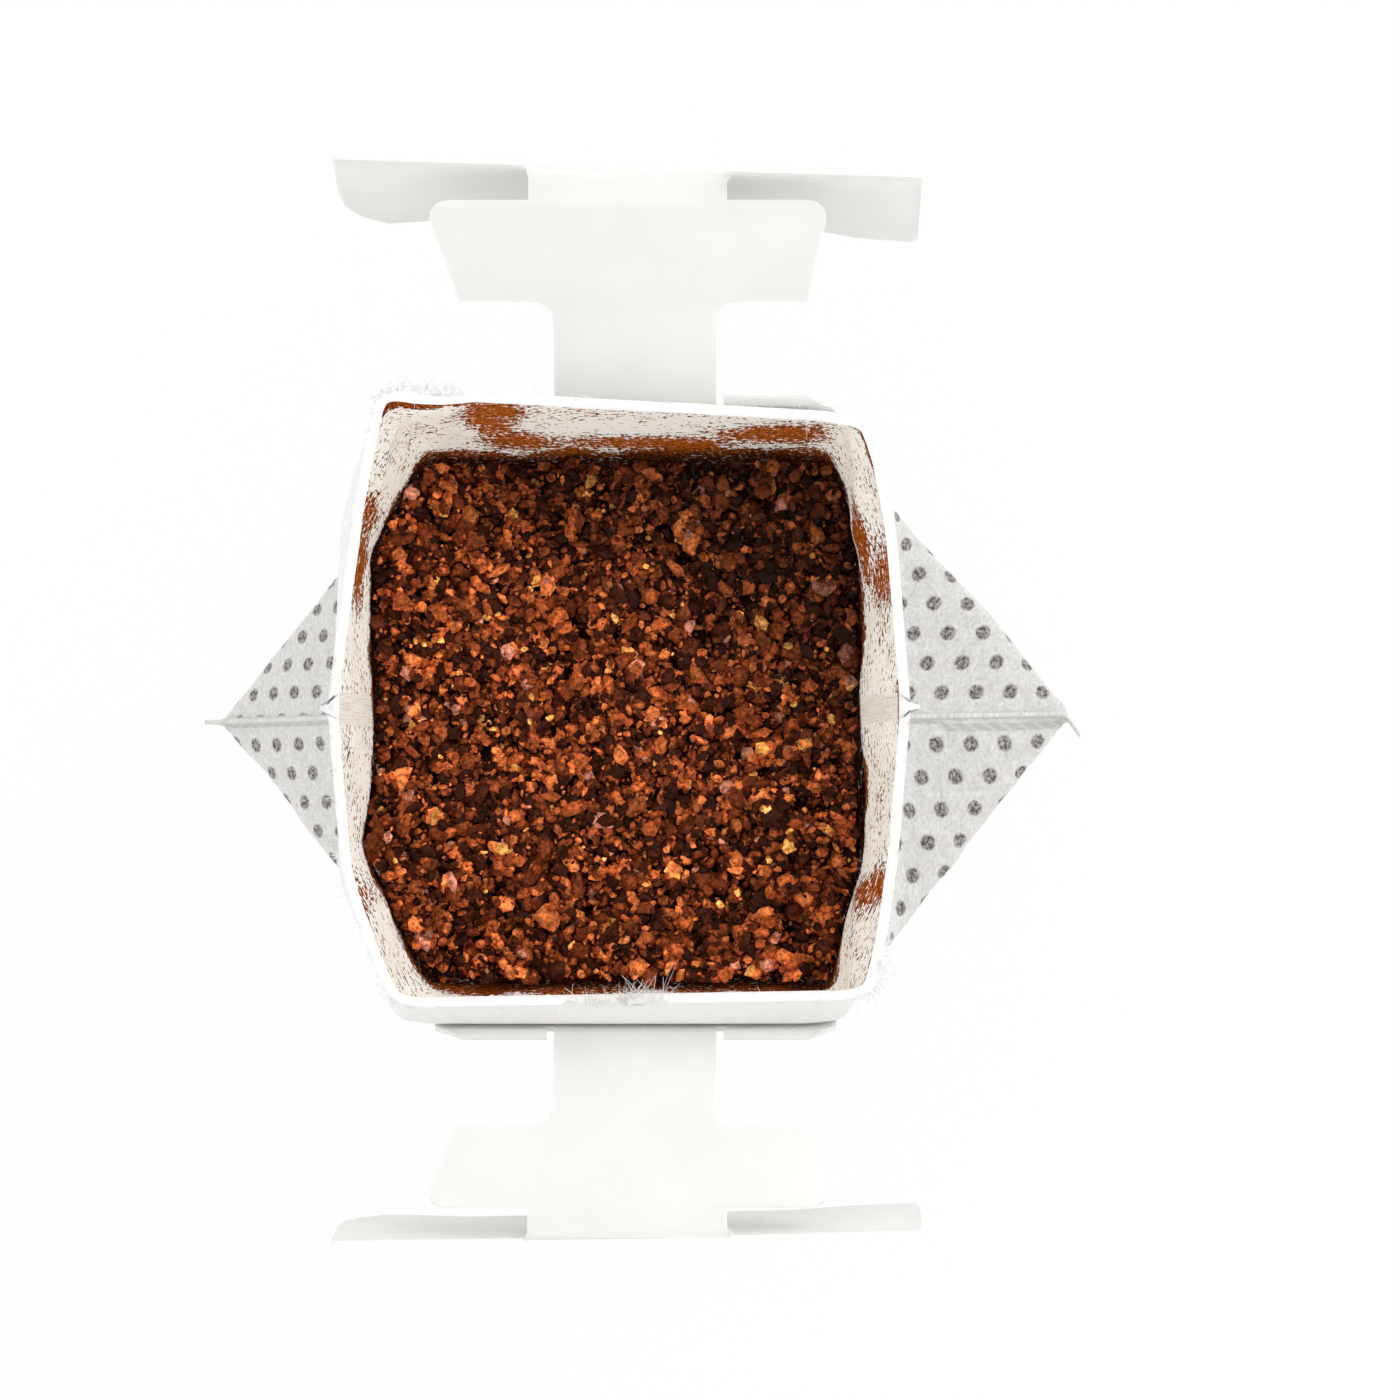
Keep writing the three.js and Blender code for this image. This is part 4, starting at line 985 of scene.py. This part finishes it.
def inside_rim(x, y, margin):
    """True where a place is nearer the middle than the rim in the same direction, less a margin."""
    middle = coffee_rim.mean(axis=0)
    angle = np.arctan2(coffee_rim[:, 1] - middle[1], coffee_rim[:, 0] - middle[0])
    reach = np.hypot(coffee_rim[:, 0] - middle[0], coffee_rim[:, 1] - middle[1])
    order = np.argsort(angle)
    limit = np.interp(np.arctan2(y - middle[1], x - middle[0]), angle[order], reach[order], period=2 * np.pi)
    return np.hypot(x - middle[0], y - middle[1]) < limit + margin


def painted_wall_shade(x, y):
    """Painted shade: the coffee is darker towards the rear right corner and along the rear and right walls."""
    corner = np.clip((x * 0.5 + y * 0.86 - 3) / 18, 0, 1)
    return (1 - 0.68 * corner) * (1.12 - 0.22 * np.clip((x - 4) / 18, 0, 1))


ROASTS = np.array([
    [0.036, 0.0070, 0.0020], [0.160, 0.0320, 0.0075], [0.360, 0.0800, 0.0190],
    [0.600, 0.1550, 0.0400], [0.900, 0.4000, 0.0900], [0.480, 0.1850, 0.1150],
])


def grain_batch(name, count, sizes, lift, shares, seed, fine, margin=0.3):
    """Grains scattered over the bed, by size range in millimetres, lift over the bed,
    and the share of each roast colour."""
    rng = np.random.default_rng(seed)
    lo, hi = coffee_rim.min(axis=0), coffee_rim.max(axis=0)
    spot = rng.uniform(lo[:2], hi[:2], (count * 3, 2))
    spot = spot[inside_rim(spot[:, 0], spot[:, 1], margin)][:count]
    count = len(spot)
    corners, faces = icosahedron()
    if fine:
        corners, faces = split_once(corners, faces)
    size = rng.uniform(0, 1, count) ** 1.7 * (sizes[1] - sizes[0]) + sizes[0]
    shape = np.stack([rng.uniform(0.85, 1.25, count), rng.uniform(0.6, 0.95, count), rng.uniform(0.35, 0.8, count)], -1)
    bumps = rng.uniform(0.72, 1.18, (count, len(corners), 1))
    lumps = corners[None] * bumps * (shape * size[:, None] / 2)[:, None]
    lumps = np.einsum("nij,nkj->nki", random_turns(rng, count), lumps)
    height = bed_height(spot[:, 0], spot[:, 1]) + BED_DROP * rng.uniform(lift[0], lift[1], count)
    points = lumps + np.concatenate([spot, height[:, None]], axis=1)[:, None]
    every = faces[None] + (np.arange(count) * len(corners))[:, None, None]
    piece = mesh_piece(name, points.reshape(-1, 3), [every.reshape(-1, 3)], smooth=False)
    roast = ROASTS[rng.choice(len(ROASTS), count, p=np.array(shares) / sum(shares))]
    # Painted shade: each grain is darkened towards the rear right walls.
    roast = roast * rng.uniform(0.6, 1.5, (count, 1)) * painted_wall_shade(spot[:, 0], spot[:, 1])[:, None]
    colour = np.ones((count, len(corners), 4))
    colour[..., :3] = roast[:, None] * rng.uniform(0.6, 1.4, (count, len(corners), 1))
    layer = piece.data.color_attributes.new("roast", "FLOAT_COLOR", "POINT")
    layer.data.foreach_set("color", colour.ravel())
    print(name, "of", count, "grains")
    return piece


grains = [
    grain_batch("grains_lumps", 650, (1.3, 2.3), (0.30, 1.0), (30, 36, 24, 8, 0.5, 1), 3, True),
    grain_batch("grains_chips", 1300, (1.2, 2.5), (0.45, 1.5), (26, 30, 24, 14, 2, 4), 6, False),
    grain_batch("grains_medium", 5200, (0.75, 1.5), (0.25, 1.5), (36, 28, 22, 12, 1.5, 1), 4, False),
    grain_batch("grains_small", 8200, (0.4, 0.9), (0.30, 1.5), (44, 28, 18, 8, 1.5, 0.6), 5, False, 0.5),
]

# %% [markdown]
# ## Ground coffee
#
# Roasted coffee is dark and slightly oily: a soft gloss on broken faces. The colour comes from
# each grain's own value, with fine speckle over it for the broken cell structure.

# %% Coffee materials
def ground_coffee():
    """The grain's roast colour, speckled, with an uneven half-gloss."""
    made, tree, shader = material("ground_coffee")
    roast = node(tree, "ShaderNodeAttribute", {"attribute_name": "roast"}).outputs["Color"]
    place = node(tree, "ShaderNodeTexCoord").outputs["Object"]
    speckle = between(tree, noise(tree, place, 2600.0, 5.0, 0.7), 0.32, 0.68)
    darker = node(tree, "ShaderNodeVectorMath", {"operation": "SCALE"}, i0=roast, i3=0.35).outputs[0]
    lighter = node(tree, "ShaderNodeVectorMath", {"operation": "SCALE"}, i0=roast, i3=1.9).outputs[0]
    tree.links.new(mixed(tree, speckle, darker, lighter), shader.inputs["Base Color"])
    rough = node(tree, "ShaderNodeMapRange", None, i0=speckle, i3=0.5, i4=0.78).outputs[0]
    shader.inputs["Specular IOR Level"].default_value = 0.14
    tree.links.new(rough, shader.inputs["Roughness"])
    bumped(tree, shader, noise(tree, place, 1800.0, 4.0, 0.7), 0.5, 0.00008)
    return made


def coffee_crumb_and_gap_shade():
    """Fine dark crumb between the grains: partly the crumb's colour, partly painted shade in the gaps."""
    made, tree, shader = material("coffee_crumb_and_gap_shade")
    place = node(tree, "ShaderNodeTexCoord").outputs["Object"]
    crumbs = node(tree, "ShaderNodeTexVoronoi", None, Vector=place, Scale=2300.0)
    # Painted shade: the colour turns near black away from each crumb's middle, in the gaps.
    level = between(tree, crumbs.outputs["Distance"], 0.1, 0.8)
    tree.links.new(mixed(tree, level, (0.055, 0.012, 0.004, 1), (0.008, 0.002, 0.001, 1)), shader.inputs["Base Color"])
    shader.inputs["Specular IOR Level"].default_value = 0.1
    shader.inputs["Roughness"].default_value = 0.85
    bumped(tree, shader, crumbs.outputs["Distance"], 0.8, 0.0003)
    return made


bed.data.materials.append(coffee_crumb_and_gap_shade())
roast_material = ground_coffee()
for batch in grains:
    batch.data.materials.append(roast_material)
for piece in [bed] + grains:
    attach(piece, "root")
    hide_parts("coffee_grounds")

# %% [markdown]
# ## Card hangers
#
# The frame already holds the two folded cards at their true size. A cut card edge is never razor
# sharp, so each card is copied, its loose triangles are joined, and a hair of bevel softens it.
# Before that, handling is added: each card's shoulders and wing are measured and moved by a
# millimetre or less to where they have settled.

# %% Card hangers
EDGE_SOFTNESS = 0.07
CREASE_ANGLE = 0.6


# side, how far out the shoulder's inner edge and the wing's outer face sit, and the wing's tilt
SETTLED = {"rear_hanger": (1, 34.35, 45.85, -0.012), "front_hanger": (-1, 34.8, 44.75, 0.014)}
NECK_END = 42.1
NECK_SLOPE = 0.435


def rise(value, low, high):
    """0 below low, 1 above high, and a smooth climb between."""
    share = np.clip((value - low) / (high - low), 0, 1)
    return share * share * (3 - 2 * share)


def settled(points, side, shoulder, wing_face, tilt):
    """Handling has shifted each card a little: the shoulders slide along the sloping neck to
    their place, the stem leans to the right, and the wing is turned a degree or less. Each
    amount is the place wanted less the place measured on the card."""
    x, out, z = points[:, 0].copy(), points[:, 1] * side, points[:, 2].copy()
    edge = out[(np.abs(x) > 12) & (z > -5.5) & (out > 30) & (out < 37)].min()
    along = rise(out, 27.5, 33.0) - 0.6 * rise(out, 34.5, 42.0) - 0.4 * rise(out, 42.0, 45.0)
    along = along * (shoulder - edge)
    shift = side * (wing_face - out.max())
    neck = -NECK_SLOPE * (NECK_END - out)
    wing = np.maximum(rise(out, 43.0, 45.5), np.clip((neck - z - 0.8) / 1.5, 0, 1) * (out > 38))
    along = along * (1 - wing)
    moved = points.copy()
    moved[:, 0] = x + 0.2 + 0.55 * (1 - rise(out, 33.0, 37.0))
    moved[:, 1] += side * along + wing * (shift + side * tilt * x)
    moved[:, 2] += NECK_SLOPE * along
    return moved


def soft_card(node_name):
    """A copy of the frame's card with joined corners, rounded edges and even shading."""
    import bmesh
    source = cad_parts[node_name]
    mesh = source.data.copy()
    mesh.name = node_name + "_card"
    mesh.materials.clear()
    shape = bmesh.new()
    shape.from_mesh(mesh)
    bmesh.ops.remove_doubles(shape, verts=shape.verts, dist=1e-6)
    bmesh.ops.dissolve_limit(shape, angle_limit=0.01, verts=shape.verts, edges=shape.edges)
    shape.to_mesh(mesh)
    shape.free()
    points = np.empty(3 * len(mesh.vertices))
    mesh.vertices.foreach_get("co", points)
    points = settled(points.reshape(-1, 3) / MM, *SETTLED[node_name]) * MM
    mesh.vertices.foreach_set("co", points.ravel())
    mesh.polygons.foreach_set("use_smooth", np.ones(len(mesh.polygons), bool))
    card = bpy.data.objects.new(node_name + "_card", mesh)
    bpy.context.scene.collection.objects.link(card)
    edge = card.modifiers.new("soft_edge", "BEVEL")
    edge.width = EDGE_SOFTNESS * MM
    edge.segments = 2
    edge.limit_method = "ANGLE"
    edge.angle_limit = CREASE_ANGLE
    return card


def card_stock():
    """Uncoated white card: faint cloudy tone, fine tooth, and no gloss."""
    made, tree, shader = material("card_stock")
    place = node(tree, "ShaderNodeTexCoord").outputs["Object"]
    clouds = between(tree, noise(tree, place, 120.0, 3.0), 0.3, 0.7)
    tooth = noise(tree, place, 2400.0, 6.0, 0.75)
    tone = mixed(tree, clouds, (0.770, 0.764, 0.742, 1), (0.742, 0.735, 0.712, 1))
    tree.links.new(tone, shader.inputs["Base Color"])
    shader.inputs["Subsurface Weight"].default_value = 0.7
    shader.inputs["Subsurface Radius"].default_value = (1.0, 1.0, 1.0)
    shader.inputs["Subsurface Scale"].default_value = 0.0008
    shader.inputs["Roughness"].default_value = 0.62
    shader.inputs["Specular IOR Level"].default_value = 0.35
    bumped(tree, shader, tooth, 0.25, 0.00005)
    return made


stock = card_stock()
for name in ("rear_hanger", "front_hanger"):
    card = soft_card(name)
    card.data.materials.append(stock)
    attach(card, "root")
    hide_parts(name)
    print(name, "has", len(card.data.polygons), "faces before its edge is softened")

# %% [markdown]
# ## Floor
#
# The floor is a plain pale sheet below the bag. It takes the bag's soft shadow, and camera rays
# see it lifted towards white, as the picture's background is.

# %% Floor
def add_floor():
    """One large flat face, kept apart from the bag."""
    reach = FLOOR_HALF / MM
    height = FLOOR_HEIGHT / MM
    corners = [(-reach, -reach, height), (reach, -reach, height), (reach, reach, height), (-reach, reach, height)]
    floor = mesh_piece("floor", corners, [np.array([[0, 1, 2, 3]])])
    made, tree, shader = material("pale_floor")
    place = node(tree, "ShaderNodeTexCoord").outputs["Object"]
    tone = mixed(tree, noise(tree, place, 6.0), FLOOR_COLOUR, (0.84, 0.84, 0.83, 1.0))
    tree.links.new(tone, shader.inputs["Base Color"])
    shader.inputs["Roughness"].default_value = 0.9
    path = node(tree, "ShaderNodeLightPath")
    seen = maths(tree, "MAXIMUM", maths(tree, "MAXIMUM", path.outputs["Is Camera Ray"], path.outputs["Is Glossy Ray"]),
                 path.outputs["Is Transmission Ray"])
    white = node(tree, "ShaderNodeEmission", None, Color=(1, 1, 1, 1), Strength=1.0).outputs[0]
    blend = tree.nodes.new("ShaderNodeMixShader")
    tree.links.new(maths(tree, "MULTIPLY", seen, LIFT_TO_WHITE), blend.inputs[0])
    tree.links.new(shader.outputs[0], blend.inputs[1])
    tree.links.new(white, blend.inputs[2])
    tree.links.new(blend.outputs[0], tree.nodes["Material Output"].inputs["Surface"])
    floor.data.materials.append(made)


add_floor()

# %% [markdown]
# ## Finish
#
# Colours are shown as they are, with no film look.

# %% Finish
bpy.context.scene.view_settings.view_transform = "Standard"
